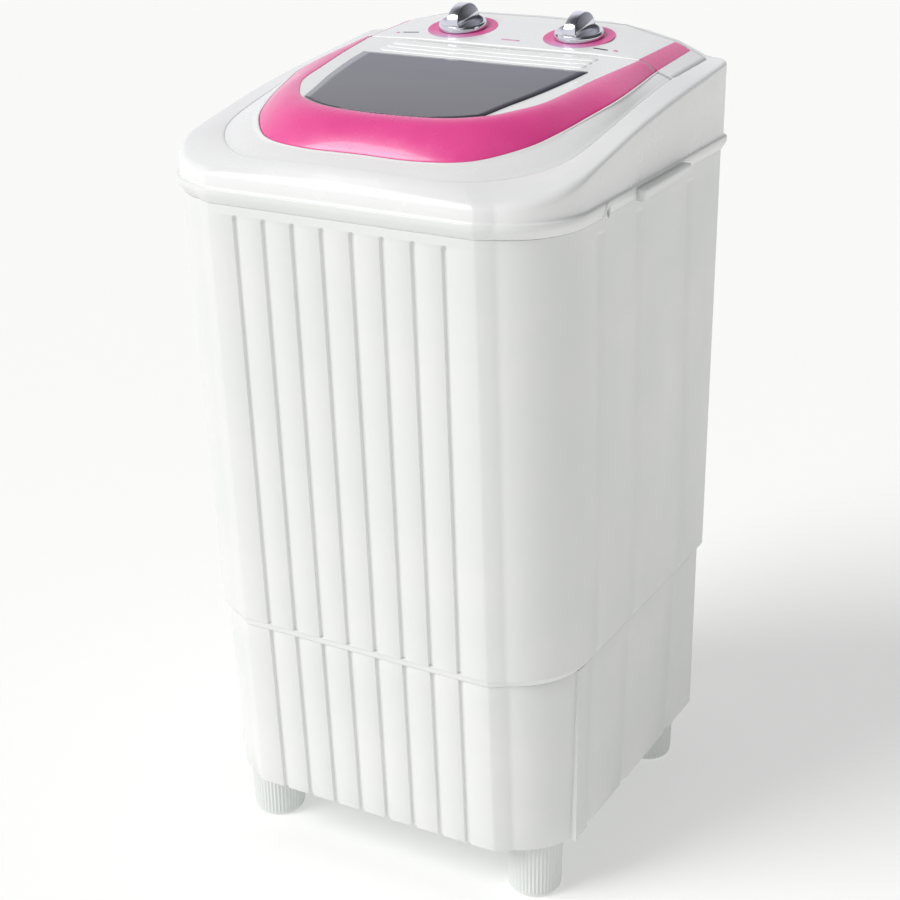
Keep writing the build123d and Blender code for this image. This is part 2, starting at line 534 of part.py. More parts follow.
def make_lid_frame():
    """Lid moulding: flange, hollow shoulder, flat frame round the window, ridged strip and hinge bar."""
    flange = extrude(Pos(0, 0, RIDGE_Z) * lid_plan(0.0), CEILING_Z - RIDGE_Z)
    flange -= above_plane(LID_PLANE_Z, LID_PLANE_SLOPE)
    flange &= above_plane(LID_PLANE_Z - LID_SKIN, LID_PLANE_SLOPE)
    dome = shoulder(TRIM_SKIN + 0.02) - lid_back_limit()
    lid = flange + dome
    hollow = shoulder(TRIM_SKIN + LID_SKIN, LID_SKIN + WINDOW_T)
    hollow -= block(-250, 250, HINGE_Y - HINGE_BAR_R, 300, 700, CEILING_Z)
    lid -= hollow
    window = extrude(Pos(0, 0, RIDGE_Z) * window_plan(0.0), CEILING_Z - RIDGE_Z)
    lid -= window & above_plane(TOP_PLANE_Z - WINDOW_T - 0.6, TOP_PLANE_SLOPE)
    lid -= extrude(Pos(0, 0, RIDGE_Z) * window_plan(WINDOW_LEDGE), CEILING_Z - RIDGE_Z)
    bar_end = TRIM_INNER[0][0] - TRIM_SKIN - 2
    lid += rod_x(-bar_end, bar_end, HINGE_Y, HINGE_Z, HINGE_BAR_R)
    for side in (-1, 1):
        low, high = sorted((side * (HINGE_EAR_X - 0.6), side * (HINGE_EAR_X + HINGE_EAR_W + 0.6)))
        clear_r = HINGE_EAR_R + 0.6
        lid -= block(low, high, HINGE_Y - clear_r - 1.5, HINGE_Y + 20, HINGE_Z - 40, HINGE_Z)
        lid -= rod_x(low, high, HINGE_Y, HINGE_Z, clear_r)
        lid -= block(low, high, HINGE_Y, HINGE_Y + 20, HINGE_Z - 1, HINGE_Z + clear_r)
        lid -= hinge_pin(side)
    return lid


def make_lid_window():
    """Clear plate let into the lid."""
    plate = extrude(Pos(0, 0, RIDGE_Z) * window_plan(FIT_GAP), CEILING_Z - RIDGE_Z)
    plate &= above_plane(TOP_PLANE_Z - WINDOW_T - 0.6, TOP_PLANE_SLOPE)
    return plate - above_plane(TOP_PLANE_Z - 0.6, TOP_PLANE_SLOPE)


def make_knob(x):
    """Round dished base with a bar grip across it."""
    frame = knob_frame(x)
    lift = DIAL_RING_T + KNOB_GAP
    base = Pos(0, 0, lift + KNOB_BASE_H / 2) * Cylinder(KNOB_R, KNOB_BASE_H)
    base = chamfer(base.edges().sort_by(Axis.Z)[-1], KNOB_CHAMFER)
    grip = Pos(0, 0, lift + KNOB_BASE_H / 2 + GRIP_H / 2) * Box(GRIP_W, 2 * KNOB_R - 12, GRIP_H - KNOB_BASE_H / 2)
    grip = fillet(grip.edges().filter_by(Axis.Y).sort_by(Axis.Z)[-2:], GRIP_W / 2 - 1)
    knob = base + grip
    knob -= Pos(0, 0, lift + 5) * Cylinder(SHAFT_R, 10.1)
    return frame * knob


def make_knob_shaft(x):
    """Shaft that carries the knob down into its switch."""
    return knob_frame(x) * Pos(0, 0, SHAFT_MIDDLE) * Cylinder(SHAFT_R, SHAFT_L)


def make_dial_ring(x):
    """Printed foil ring on the panel round the knob."""
    ring = Cylinder(DIAL_RING_R, DIAL_RING_T) - Cylinder(DIAL_RING_HOLE_R, DIAL_RING_T)
    return knob_frame(x) * Pos(0, 0, DIAL_RING_T / 2) * ring


def make_timer():
    """Clockwork timer that hangs below the panel."""
    case = Pos(0, 0, TIMER_CASE_MIDDLE) * Cylinder(TIMER_CASE_R, TIMER_CASE_H)
    case += Pos(0, 0, BRACKET_MIDDLE) * Box(*BRACKET)
    case -= Pos(0, 0, TIMER_CASE_MIDDLE) * Cylinder(SHAFT_R + RUN_FIT, 2 * TIMER_CASE_H)
    return knob_frame(-KNOB_X) * case


def make_selector():
    """Selector housing that hangs below the panel."""
    case = Pos(0, 0, SELECTOR_CASE_MIDDLE) * Box(*SELECTOR_CASE) + Pos(0, 0, BRACKET_MIDDLE) * Box(*BRACKET)
    case -= Pos(0, 0, SELECTOR_CASE_MIDDLE) * Cylinder(SHAFT_R + RUN_FIT, 2 * TIMER_CASE_H)
    return knob_frame(KNOB_X) * case


def make_tub():
    """One-piece wash tub with its deck, sump and bearing seat."""
    deck = rounded_plan(DECK_Z, CABINET_HALF_W - 1 - FIT_GAP, CABINET_FRONT[1] + PANEL_PROUD + 1 + FIT_GAP,
                        CABINET_REAR - 1 - FIT_GAP, FRONT_CORNER_R - 4, REAR_CORNER_R - 4)
    deck = extrude(deck, DECK_T)
    floor_z = TUB_FLOOR_Z
    top_z = DECK_Z + DECK_T
    outer = make_face(Polyline((0, floor_z - TUB_WALL), (TUB_FLOOR_R - TUB_SLANT, floor_z - TUB_WALL),
                               (TUB_FLOOR_R + TUB_WALL, floor_z + TUB_SLANT), (TUB_TOP_R + TUB_WALL, top_z),
                               (0, top_z), close=True))
    inner = make_face(Polyline((0, floor_z), (TUB_FLOOR_R - TUB_SLANT - 1, floor_z),
                               (TUB_FLOOR_R, floor_z + TUB_SLANT + 1), (TUB_TOP_R, top_z), (0, top_z), close=True))
    bowl = Pos(0, TUB_Y) * revolve(Plane.XZ * outer, Axis.Z)
    space = Pos(0, TUB_Y) * revolve(Plane.XZ * inner, Axis.Z)
    tub = deck + bowl - space
    tub -= cylinder_at(0, TUB_Y, floor_z - TUB_SLANT / 2, SEAT_BORE_R, TUB_SLANT)
    return tub - cylinder_at(DRAIN_X, DRAIN_Y, floor_z - TUB_SLANT / 2, DRAIN_BORE_R, TUB_SLANT)


def make_pulsator():
    """Ribbed agitator disc on the tub's floor."""
    disc = cylinder_at(0, TUB_Y, PULSATOR_Z, PULSATOR_R, PULSATOR_T)
    top = PULSATOR_Z + PULSATOR_T
    disc = chamfer(disc.edges().sort_by(Axis.Z)[-1], PULSATOR_T / 2 - RUN_FIT)
    disc += Pos(0, TUB_Y, top) * Cone(CONE_R, CONE_TOP_R, CONE_H, align=(Align.CENTER, Align.CENTER, Align.MIN))
    for index in range(VANE_COUNT):
        vane = Pos(VANE_MIDDLE_R, 0, top + VANE[2] / 2 - 1) * Box(*VANE)
        vane = fillet(vane.edges().filter_by(Axis.X).sort_by(Axis.Z)[-2:], VANE_ROUND)
        disc += Pos(0, TUB_Y) * Rot(0, 0, index * 360 / VANE_COUNT) * vane
    disc += cylinder_at(0, TUB_Y, PULSATOR_Z - 3, 2 * DRIVE_R - 1, 4)
    disc -= cylinder_at(0, TUB_Y, PULSATOR_Z - 5, DRIVE_R, SHAFT_TOP + 5)
    return disc - cylinder_at(0, TUB_Y, top, SCREW_SHANK_R + 0.1, 2 * CONE_H)


def make_pulsator_screw():
    """Screw that holds the pulsator on its shaft."""
    top = PULSATOR_Z + PULSATOR_T + CONE_H
    foot = PULSATOR_Z + SHAFT_TOP
    screw = cylinder_at(0, TUB_Y, top, SCREW_HEAD_R, SCREW_HEAD_H)
    return screw + cylinder_at(0, TUB_Y, foot, SCREW_SHANK_R, top - foot)


def make_drive_shaft():
    """Shaft from the driven pulley up to the pulsator."""
    low = BELT_Z - BUSH_H
    return cylinder_at(0, TUB_Y, low, DRIVE_R, PULSATOR_Z + SHAFT_TOP - low)


def make_bearing_housing():
    """Housing bolted between the tub's floor and the chassis plate."""
    low = CHASSIS_Z + CHASSIS_T
    high = TUB_FLOOR_Z - TUB_WALL
    body = cylinder_at(0, TUB_Y, low, HOUSING_R, high - low)
    body += cylinder_at(0, TUB_Y, low, HOUSING_R + 22, 6)
    body += cylinder_at(0, TUB_Y, high - 5, HOUSING_R + 14, 5)
    body -= cylinder_at(0, TUB_Y, low, BUSH_R, BUSH_H)
    body -= cylinder_at(0, TUB_Y, high - 2 * BUSH_H, BUSH_R, 2 * BUSH_H)
    return body - cylinder_at(0, TUB_Y, low, DRIVE_R + 2, high - low)


def make_bearing(z):
    """Bush that the drive shaft turns in."""
    return tube_at(0, TUB_Y, z, BUSH_R, DRIVE_R + RUN_FIT, BUSH_H)


def make_shaft_seal():
    """Lip seal in the tub's floor."""
    low = TUB_FLOOR_Z - TUB_WALL - BUSH_H
    bore = DRIVE_R + FIT_GAP
    seal = tube_at(0, TUB_Y, low, BUSH_R, bore, BUSH_H)
    return seal + tube_at(0, TUB_Y, TUB_FLOOR_Z - TUB_WALL, SEAT_BORE_R - FIT_GAP, bore, TUB_WALL + 1)


def grooved_pulley(x, y, radius, width, bore):
    """Pulley with one belt groove."""
    rim = cylinder_at(x, y, BELT_Z - width / 2, radius, width)
    groove = make_face(Polyline((radius + 1, BELT_Z - BELT_W / 2 - 0.6), (radius - BELT_T - 0.4, BELT_Z - BELT_W / 3),
                                (radius - BELT_T - 0.4, BELT_Z + BELT_W / 3),
                                (radius + 1, BELT_Z + BELT_W / 2 + 0.6), close=True))
    rim -= Pos(x, y) * revolve(Plane.XZ * groove, Axis.Z)
    return rim - cylinder_at(x, y, BELT_Z - width, bore, 2 * width)


def make_driven_pulley():
    """Large pulley under the chassis plate, lightened by round holes."""
    pulley = grooved_pulley(0, TUB_Y, PULLEY_R, PULLEY_W, DRIVE_R)
    for index in range(PULLEY_HOLES):
        hole = Pos(PULLEY_HOLE_MIDDLE_R, 0, BELT_Z) * Cylinder(PULLEY_HOLE_R, 2 * PULLEY_W)
        pulley -= Pos(0, TUB_Y) * Rot(0, 0, index * 360 / PULLEY_HOLES) * hole
    return pulley


def make_belt():
    """Belt round both pulleys."""
    dx, dy = MOTOR_X, MOTOR_Y - TUB_Y
    span = (dx * dx + dy * dy) ** 0.5
    along = degrees(atan(dy / dx))
    lean = asin((PULLEY_R - MOTOR_PULLEY_R) / span)
    big, small = PULLEY_R - BELT_T, MOTOR_PULLEY_R - BELT_T

    def loop(extra):
        outline = Circle(big + extra) + Pos(span, 0) * Circle(small + extra)
        spread = pi / 2 - lean
        corners = [((big + extra) * cos(spread), (big + extra) * sin(spread)),
                   (span + (small + extra) * cos(spread), (small + extra) * sin(spread))]
        points = corners + [(x, -y) for x, y in corners[::-1]]
        return outline + Polygon(*points, align=None)

    belt = extrude(loop(BELT_T - 0.6) - loop(0), BELT_W / 3 - 0.5, both=True)
    return Pos(0, TUB_Y, BELT_Z) * Rot(0, 0, along) * belt


def make_motor_housing():
    """Motor can with end shields and four lugs."""
    low = CHASSIS_Z + CHASSIS_T + 6
    can = cylinder_at(MOTOR_X, MOTOR_Y, low, MOTOR_R, MOTOR_H - 6)
    can = chamfer(can.edges().group_by(Axis.Z)[-1] + can.edges().group_by(Axis.Z)[0], 5.0)
    for angle in lug_angles():
        lug = Pos(MOTOR_R + LUG_REACH - 4, 0, low + 6) * Box(24, 18, 6)
        lug -= Pos(MOTOR_R + LUG_REACH, 0, low + 6) * Cylinder(LUG_BOLT_R, 10)
        can += Pos(MOTOR_X, MOTOR_Y) * Rot(0, 0, angle) * lug
    can -= cylinder_at(MOTOR_X, MOTOR_Y, low - 10, MOTOR_SHAFT_R + RUN_FIT, MOTOR_H - 12)
    return can


def lug_angles():
    """Angles of the motor's lugs round its shaft."""
    return [360 * (index + 0.5) / MOTOR_LUGS for index in range(MOTOR_LUGS)]


def lug_places():
    """Bolt positions (x, y) of the motor's lugs."""
    reach = MOTOR_R + LUG_REACH
    return [(MOTOR_X + reach * cos(radians(a)), MOTOR_Y + reach * sin(radians(a))) for a in lug_angles()]


def make_motor_mounts():
    """Rubber bushes between the motor's lugs and the chassis plate."""
    mounts = Part()
    for x, y in lug_places():
        mounts += tube_at(x, y, CHASSIS_Z + CHASSIS_T, 8, LUG_BOLT_R, MOUNT_H)
    return mounts


def make_motor_shaft():
    """Motor shaft down to the small pulley."""
    return cylinder_at(MOTOR_X, MOTOR_Y, BELT_Z - BUSH_H, MOTOR_SHAFT_R, MOTOR_H + MOUNT_H - 3)


def make_chassis_plate():
    """Pressed steel plate that carries the bearing housing and the motor."""
    plate = extrude(rounded_plan(CHASSIS_Z, CHASSIS_HALF_W, CHASSIS_FRONT, CHASSIS_REAR,
                                 FRONT_CORNER_R - 4 * WALL, REAR_CORNER_R - WALL), CHASSIS_T)
    for x, y, radius in (*CHASSIS_HOLES, *((x, y, LUG_BOLT_R) for x, y in lug_places())):
        plate -= cylinder_at(x, y, CHASSIS_Z - CHASSIS_T, radius, 3 * CHASSIS_T)
    return plate


def make_capacitor():
    """Motor capacitor standing on the chassis plate."""
    can = cylinder_at(CAPACITOR_X, CAPACITOR_Y, CHASSIS_Z + CHASSIS_T, CAPACITOR_R, CAPACITOR_H)
    return fillet(can.edges().sort_by(Axis.Z)[-1], 2.0)


def make_capacitor_clip():
    """Band that holds the capacitor."""
    low = CHASSIS_Z + CHASSIS_T
    clip = tube_at(CAPACITOR_X, CAPACITOR_Y, low + 20, CAPACITOR_R + 1.2, CAPACITOR_R, 12)
    foot = block(CAPACITOR_X + CAPACITOR_R - 0.5, CAPACITOR_X + CAPACITOR_R + 10, CAPACITOR_Y - 4, CAPACITOR_Y + 4,
                 low, low + 32)
    return clip + (foot - cylinder_at(CAPACITOR_X, CAPACITOR_Y, CHASSIS_Z, CAPACITOR_R + 1, CAPACITOR_H))


def make_drain_valve():
    """Valve body under the tub's drain hole with a side port towards the rear."""
    x, y, pipe_z = DRAIN_X, DRAIN_Y, DRAIN_PIPE_Z
    low, high = pipe_z - 20, TUB_FLOOR_Z - TUB_WALL
    outer_r, inner_r, port_r = VALVE_R, VALVE_R - WALL, SPIGOT_BORE_R
    body = tube_at(x, y, low, outer_r, inner_r, high - low)
    body += tube_at(x, y, low, outer_r, PLUG_ROD_R + FIT_GAP, WALL)
    port = rod_y(x, y + inner_r + 1.5, y + 40, pipe_z, port_r) - rod_y(x, y, y + 60, pipe_z, PORT_BORE_R)
    return body - rod_y(x, y, y + 30, pipe_z, PORT_BORE_R) + (port - cylinder_at(x, y, low, inner_r, high - low))


def make_drain_plug():
    """Rubber-faced plug that closes the drain hole from below, on its lifting rod."""
    face_z = TUB_FLOOR_Z - TUB_WALL - FIT_GAP
    plug = cylinder_at(DRAIN_X, DRAIN_Y, face_z - PLUG_H, PLUG_R, PLUG_H)
    return plug + cylinder_at(DRAIN_X, DRAIN_Y, PLUG_ROD_Z, PLUG_ROD_R, face_z - PLUG_ROD_Z - 2)


def make_drain_pipe():
    """Moulded pipe from the valve down to the outlet in the rear wall."""
    path = FilletPolyline((DRAIN_X, DRAIN_Y + 30, DRAIN_PIPE_Z), (DRAIN_X, PIPE_TURN_Y, DRAIN_PIPE_Z),
                          (SPIGOT_X, PIPE_TURN_Y, DRAIN_PIPE_Z), (SPIGOT_X, PIPE_TURN_Y, SPIGOT_Z),
                          (SPIGOT_X, BASE_REAR - 2, SPIGOT_Z), radius=PIPE_BEND_R)
    start = Plane(origin=path @ 0, z_dir=path % 0)
    return sweep(start * (Circle(SPIGOT_R - 1) - Circle(SPIGOT_BORE_R)), path=path)


def make_drain_spigot():
    """Ribbed outlet stub for the drain hose."""
    stub = rod_y(SPIGOT_X, BEHIND_REAR[0] + 2, STUB_END_Y, SPIGOT_Z, SPIGOT_R)
    inner_wall = CABINET_REAR - 2 * WALL - HEM_R - FIT_GAP
    stub += rod_y(SPIGOT_X, inner_wall - WALL, inner_wall, SPIGOT_Z, SPIGOT_R + 11)
    stub -= rod_y(SPIGOT_X, BEHIND_REAR[0], BASE_REAR - 2, SPIGOT_Z, SPIGOT_R - 1)
    return stub - rod_y(SPIGOT_X, *BEHIND_REAR, SPIGOT_Z, SPIGOT_BORE_R)


def make_water_inlet():
    """Fill pipe from the rear wall to a spout over the tub."""
    pipe = rod_y(INLET_X, INLET_SPOUT_Y, STUB_END_Y, INLET_Z, INLET_R)
    return pipe - rod_y(INLET_X, INLET_SPOUT_Y - 1, STUB_END_Y + 1, INLET_Z, INLET_BORE_R)


def make_cord_gland():
    """Grommet where the power cord enters."""
    gland = rod_y(GLAND_X, BASE_REAR - 4 * WALL, STUB_END_Y, GLAND_Z, GLAND_R - 2)
    gland += rod_y(GLAND_X, BASE_REAR, STUB_END_Y - 2, GLAND_Z, GLAND_R + 1)
    return gland - rod_y(GLAND_X, *BEHIND_REAR, GLAND_Z, GLAND_BORE_R)


def make_rear_cover():
    """Removable plate over the belt and motor."""
    plate = block(-REAR_COVER_HALF_W, REAR_COVER_HALF_W, BASE_REAR, BASE_REAR + REAR_COVER_T, *REAR_COVER_Z)
    plate = fillet(plate.edges().filter_by(Axis.Y), 4 * REAR_COVER_T)
    for index in range(LOUVRES):
        low = LOUVRE_Z + index * LOUVRE_PITCH
        plate -= block(-LOUVRE_HALF_W, LOUVRE_HALF_W, *BEHIND_REAR, low, low + LOUVRE_H)
    for x, z in rear_cover_screw_places():
        plate -= rod_y(x, *BEHIND_REAR, z, 2.1)
    return plate


def rear_cover_screw_places():
    """Screw positions (x, z) in the rear cover."""
    return [(x, z) for x in (-99.0, 99.0) for z in (100.0, 212.0)]


def make_rear_cover_screws():
    """Four screws of the rear cover."""
    screws = Part()
    for x, z in rear_cover_screw_places():
        outside = BASE_REAR + REAR_COVER_T
        screws += rod_y(x, BASE_REAR, outside, z, 2.0) + rod_y(x, outside, outside + 2, z, 4.0)
    return screws


def make_collar_screws():
    """Screws through the collar into the cabinet, one on each side."""
    screws = Part()
    for side in (-1, 1):
        low, high = sorted((side * (COLLAR_HALF_W - COLLAR_POCKET_DEEP), side * (COLLAR_HALF_W - COLLAR_SCREW_SUNK)))
        screws += rod_x(low, high, COLLAR_SCREW_Y, COLLAR_SCREW_Z, COLLAR_SCREW_R)
    return screws


def make_base_plate():
    """Flat floor of the base, resting on the feet."""
    inset = PANEL_PROUD + WALL
    plate = extrude(rounded_plan(PLATE_Z, CABINET_HALF_W - 2 * WALL - HEM_R - FIT_GAP, BASE_FRONT[0] + inset + 1,
                                 CABINET_REAR - 2 * WALL - HEM_R - 2 * FIT_GAP, FRONT_CORNER_R - WALL,
                                 REAR_CORNER_R - WALL), PLATE_T)
    for side in (-1, 1):
        plate -= block(*sorted((side * (CORNER_GROOVE_BACK_X[0] - 1), side * BASE_HALF_W)),
                       CORNER_GROOVE_Y - CORNER_GROOVE_W - 2, CORNER_GROOVE_Y + CORNER_GROOVE_W + 2,
                       PLATE_Z - 1, PLATE_Z + PLATE_T + 1)
    for x in VENT_XS:
        plate -= Pos(x, 40, PLATE_Z) * extrude(SlotOverall(VENT_L, VENT_W, rotation=90), 3 * PLATE_T, both=True)
    return plate


def fluted_plan(radius):
    """Star-like outline of a fluted foot."""
    points = []
    for index in range(2 * FOOT_FLUTES):
        angle = index * pi / FOOT_FLUTES
        reach = radius - (FLUTE_DEPTH if index % 2 else 0.0)
        points.append((reach * cos(angle), reach * sin(angle)))
    return Polygon(*points, align=None)


def make_foot(x, y):
    """Levelling foot: fluted sleeve on a rounded sole."""
    sleeve = loft([Pos(0, 0, FOOT_ROUND) * fluted_plan(FOOT_BOTTOM_R),
                   Pos(0, 0, BASE_Z - FIT_GAP) * fluted_plan(FOOT_TOP_R)], ruled=True)
    sleeve += cylinder_at(0, 0, BASE_Z - 1, FOOT_NECK_R, PLATE_Z - BASE_Z + 1)
    sole = cylinder_at(0, 0, 0, FOOT_BOTTOM_R - 0.4, FOOT_ROUND + 1)
    sole = fillet(sole.edges().sort_by(Axis.Z)[0], FOOT_ROUND - 0.5)
    return Pos(x, y) * (sleeve + sole)


def make_lint_filter():
    """Lint filter frame that clips to the tub's rear wall."""
    y_wall = TUB_Y + TUB_TOP_R
    near, far = FILTER_DEPTH
    low, high = FILTER_Z
    inner = FILTER_HALF_W - FILTER_RIM_X
    frame = block(-FILTER_HALF_W, FILTER_HALF_W, y_wall - near, y_wall - far, low, high)
    return frame - block(-inner, inner, y_wall - near - 1, y_wall - far + 1, low + FILTER_RIM_Z, high - FILTER_RIM_Z)


def make_lint_bag():
    """Mesh bag held by the filter frame."""
    y_wall = TUB_Y + TUB_TOP_R
    near, far = BAG_DEPTH
    low, high = FILTER_Z
    half = FILTER_HALF_W - FILTER_RIM_X - BAG_GAP
    rim = FILTER_RIM_Z + BAG_GAP
    return block(-half, half, y_wall - near, y_wall - far, low + rim, high - rim)


def make_filter_channel():
    """Channel cover that guides water up the tub's rear wall to the filter."""
    y_wall = TUB_Y + TUB_TOP_R
    half, out = CHANNEL_COVER_HALF_W, CHANNEL_COVER_OUT
    low, high = CHANNEL_COVER_Z
    channel = block(-half, half, y_wall - out, y_wall + 2 * WALL, low, high)
    channel -= block(-half + WALL, half - WALL, y_wall - out + TUB_WALL, y_wall + 4 * WALL, low - WALL, high - WALL)
    knee_z = TUB_FLOOR_Z + TUB_SLANT + 1
    keep = Pos(0, TUB_Y, knee_z) * Cone(TUB_FLOOR_R - 0.4, TUB_TOP_R - 0.4, DECK_Z + DECK_T - knee_z,
                                        align=(Align.CENTER, Align.CENTER, Align.MIN))
    return channel & keep


def main():
    trims = {"left": panel_trim(-1), "right": panel_trim(1)}
    nodes = {
        "cabinet": make_cabinet(),
        "base_skirt": make_base_skirt(),
        "base_plate": make_base_plate(),
        "rim_collar": make_rim_collar(),
        "carry_grip_left": make_side_grip(-1),
        "carry_grip_right": make_side_grip(1),
        "collar_screws": make_collar_screws(),
        "panel_trim_left": trims["left"],
        "panel_trim_right": trims["right"],
        "top_cover": make_top_cover(trims["left"] + trims["right"]),
        "lid_frame": make_lid_frame(),
        "lid_trim": make_lid_trim(),
        "lid_window": make_lid_window(),
        "hinge_pin_left": hinge_pin(-1),
        "hinge_pin_right": hinge_pin(1),
        "timer_knob": make_knob(-KNOB_X),
        "timer_shaft": make_knob_shaft(-KNOB_X),
        "timer_dial_ring": make_dial_ring(-KNOB_X),
        "timer_case": make_timer(),
        "selector_knob": make_knob(KNOB_X),
        "selector_shaft": make_knob_shaft(KNOB_X),
        "selector_dial_ring": make_dial_ring(KNOB_X),
        "selector_case": make_selector(),
        "wash_tub": make_tub(),
        "filter_channel": make_filter_channel(),
        "lint_filter_frame": make_lint_filter(),
        "lint_bag": make_lint_bag(),
        "pulsator": make_pulsator(),
        "pulsator_screw": make_pulsator_screw(),
        "drive_shaft": make_drive_shaft(),
        "shaft_seal": make_shaft_seal(),
        "bearing_housing": make_bearing_housing(),
        "lower_bearing": make_bearing(CHASSIS_Z + CHASSIS_T),
        "upper_bearing": make_bearing(TUB_FLOOR_Z - TUB_WALL - 24),
        "driven_pulley": make_driven_pulley(),
        "drive_belt": make_belt(),
        "motor_pulley": grooved_pulley(MOTOR_X, MOTOR_Y, MOTOR_PULLEY_R, PULLEY_W, MOTOR_SHAFT_R),
        "motor_shaft": make_motor_shaft(),
        "motor_housing": make_motor_housing(),
        "motor_mounts": make_motor_mounts(),
        "chassis_plate": make_chassis_plate(),
        "capacitor": make_capacitor(),
        "capacitor_clip": make_capacitor_clip(),
        "drain_valve": make_drain_valve(),
        "drain_plug": make_drain_plug(),
        "drain_pipe": make_drain_pipe(),
        "drain_spigot": make_drain_spigot(),
        "water_inlet": make_water_inlet(),
        "cord_gland": make_cord_gland(),
        "rear_cover": make_rear_cover(),
        "rear_cover_screws": make_rear_cover_screws(),
    }
    for place, x, y in (("front_left", -FOOT_X, FOOT_FRONT_Y), ("front_right", FOOT_X, FOOT_FRONT_Y),
                        ("rear_left", -FOOT_X, FOOT_REAR_Y), ("rear_right", FOOT_X, FOOT_REAR_Y)):
        nodes["foot_" + place] = make_foot(x, y)
    os.makedirs("parts", exist_ok=True)
    for name, shape in nodes.items():
        export_step(shape, f"parts/{name}.step")


main()
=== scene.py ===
import json
from math import acos, cos, degrees, pi, radians, sin

import bmesh
import bpy
from mathutils import Matrix, Vector
from mathutils.geometry import interpolate_bezier


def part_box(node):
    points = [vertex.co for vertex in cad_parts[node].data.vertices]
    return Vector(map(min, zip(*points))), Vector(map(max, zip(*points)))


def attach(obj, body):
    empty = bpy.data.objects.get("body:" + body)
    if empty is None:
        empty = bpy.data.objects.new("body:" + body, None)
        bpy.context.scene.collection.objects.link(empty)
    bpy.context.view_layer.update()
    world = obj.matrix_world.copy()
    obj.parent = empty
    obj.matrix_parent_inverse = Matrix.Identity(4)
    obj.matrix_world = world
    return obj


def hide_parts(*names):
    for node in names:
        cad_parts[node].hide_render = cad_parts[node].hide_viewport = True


# Looks of a portable single-tub washing machine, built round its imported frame.
# Shapes are worked out in millimetres, in the frame's own axes, and turned to metres once, in piece().

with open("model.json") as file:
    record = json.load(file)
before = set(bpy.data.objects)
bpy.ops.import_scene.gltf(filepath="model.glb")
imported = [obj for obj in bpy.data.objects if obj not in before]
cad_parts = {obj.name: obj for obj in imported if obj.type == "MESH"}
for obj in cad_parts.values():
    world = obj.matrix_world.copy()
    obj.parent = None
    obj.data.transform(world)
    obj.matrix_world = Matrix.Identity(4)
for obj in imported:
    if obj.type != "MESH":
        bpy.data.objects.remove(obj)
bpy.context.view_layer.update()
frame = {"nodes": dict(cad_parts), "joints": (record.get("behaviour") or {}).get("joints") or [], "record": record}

MM = 0.001
WELD = 0.002          # points nearer than this are one point


def corners(node):
    """Lowest and highest corner of a CAD node in millimetres."""
    low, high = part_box(node)
    return low / MM, high / MM


cabinet_low, cabinet_high = corners("cabinet")
base_low, base_high = corners("base_skirt")
collar_low, collar_high = corners("rim_collar")
cover_low, cover_high = corners("top_cover")

STEP_Z = cabinet_low.z
DECK_Z = cabinet_high.z
BASE_Z = base_low.z
RIDGE_Z = cover_low.z
CABINET_HALF = cabinet_high.x
BASE_HALF = base_high.x
COLLAR_HALF = collar_high.x
COVER_HALF = cover_high.x
CABINET_TOE = base_low.y - 2.0       # front panel's plane at the step
BASE_TOE = base_low.y + 11.5         # and at the foot of the base
PROUD = 5.0                          # how far the front panel stands before the corner columns
PANEL_HALF, BEVEL = 141.0, 16.0
FRONT_R, REAR_R = 78.0, 15.0
SHELL_WALL = 2.5

CHANNEL_PITCH, CHANNEL_HALF, CHANNEL_DEEP = 31.7, 3.6, 3.2
CHANNEL_TOP_Z = DECK_Z - 8.5
SIDE_HALF, SIDE_DEEP = 9.6, 2.6
SIDE_TOP_Z = DECK_Z - 12.0
SIDE_AT_TOP = (115.0, -9.5, -97.0)
SIDE_AT_STEP = (137.0, 14.0, -76.0)
SIDE_AT_FOOT = (126.0, 6.0, -83.0)
CORNER_GROOVE_Y, CORNER_GROOVE_HALF, CORNER_GROOVE_DEEP = -110.5, 5.4, 10.0
CORNER_STEPS, REAR_STEPS = 22, 8     # points round a front and a rear corner
HATCH_HALF = 95.0                    # half width of the opening in the base's rear
HEM = 7.3                            # height of the cabinet's turned-in hem
# Hem from the inside out: height, how far in at the sides, how far in at the front
HEM_PROFILE = ((0.6, 9, 6), (0, 8, 4.5), (0, 5.4, 1.9), (0.4, 5, 1.3), (1.2, 4.7, 1), (3.5, 3, 0.9),
               (HEM - 1, 0.9, 0.9), (HEM - 0.5, 0.4, 0.7), (HEM, 0.1, 0.1))
# Collar from its inner foot up over the ridge: height, how far in
COLLAR_PROFILE = ((DECK_Z + 0.1, 9), (DECK_Z + 0.1, 4.6), (DECK_Z + 0.5, 4.0), (DECK_Z + 3, 2.9),
                  (DECK_Z + 6, 1.3), (DECK_Z + 8.5, 0.3), (DECK_Z + 10.5, 0.0), (RIDGE_Z - 1.8, 0.0),
                  (RIDGE_Z - 0.8, 0.25), (RIDGE_Z - 0.2, 0.8), (RIDGE_Z, 1.5), (RIDGE_Z, 12))

# Cross-section of a moulded channel: share of its half width, share of its depth
CHANNEL_SHAPE = ((-1.0, 0.0), (-0.86, 0.08), (-0.74, 0.5), (-0.62, 0.92), (-0.48, 1.0),
                 (0.48, 1.0), (0.62, 0.92), (0.74, 0.5), (0.86, 0.08), (1.0, 0.0))
# The side channels rise slowly towards the rear; the corner grooves are nearly square
SIDE_SHAPE = ((-1.0, 0.0), (-0.92, 0.06), (-0.12, 0.94), (0.0, 1.0),
              (0.7, 1.0), (0.82, 0.9), (0.92, 0.1), (1.0, 0.0))
GROOVE_SHAPE = ((-1.0, 0.0), (-0.96, 0.04), (-0.9, 0.95), (-0.82, 1.0),
                (0.82, 1.0), (0.9, 0.95), (0.96, 0.04), (1.0, 0.0))

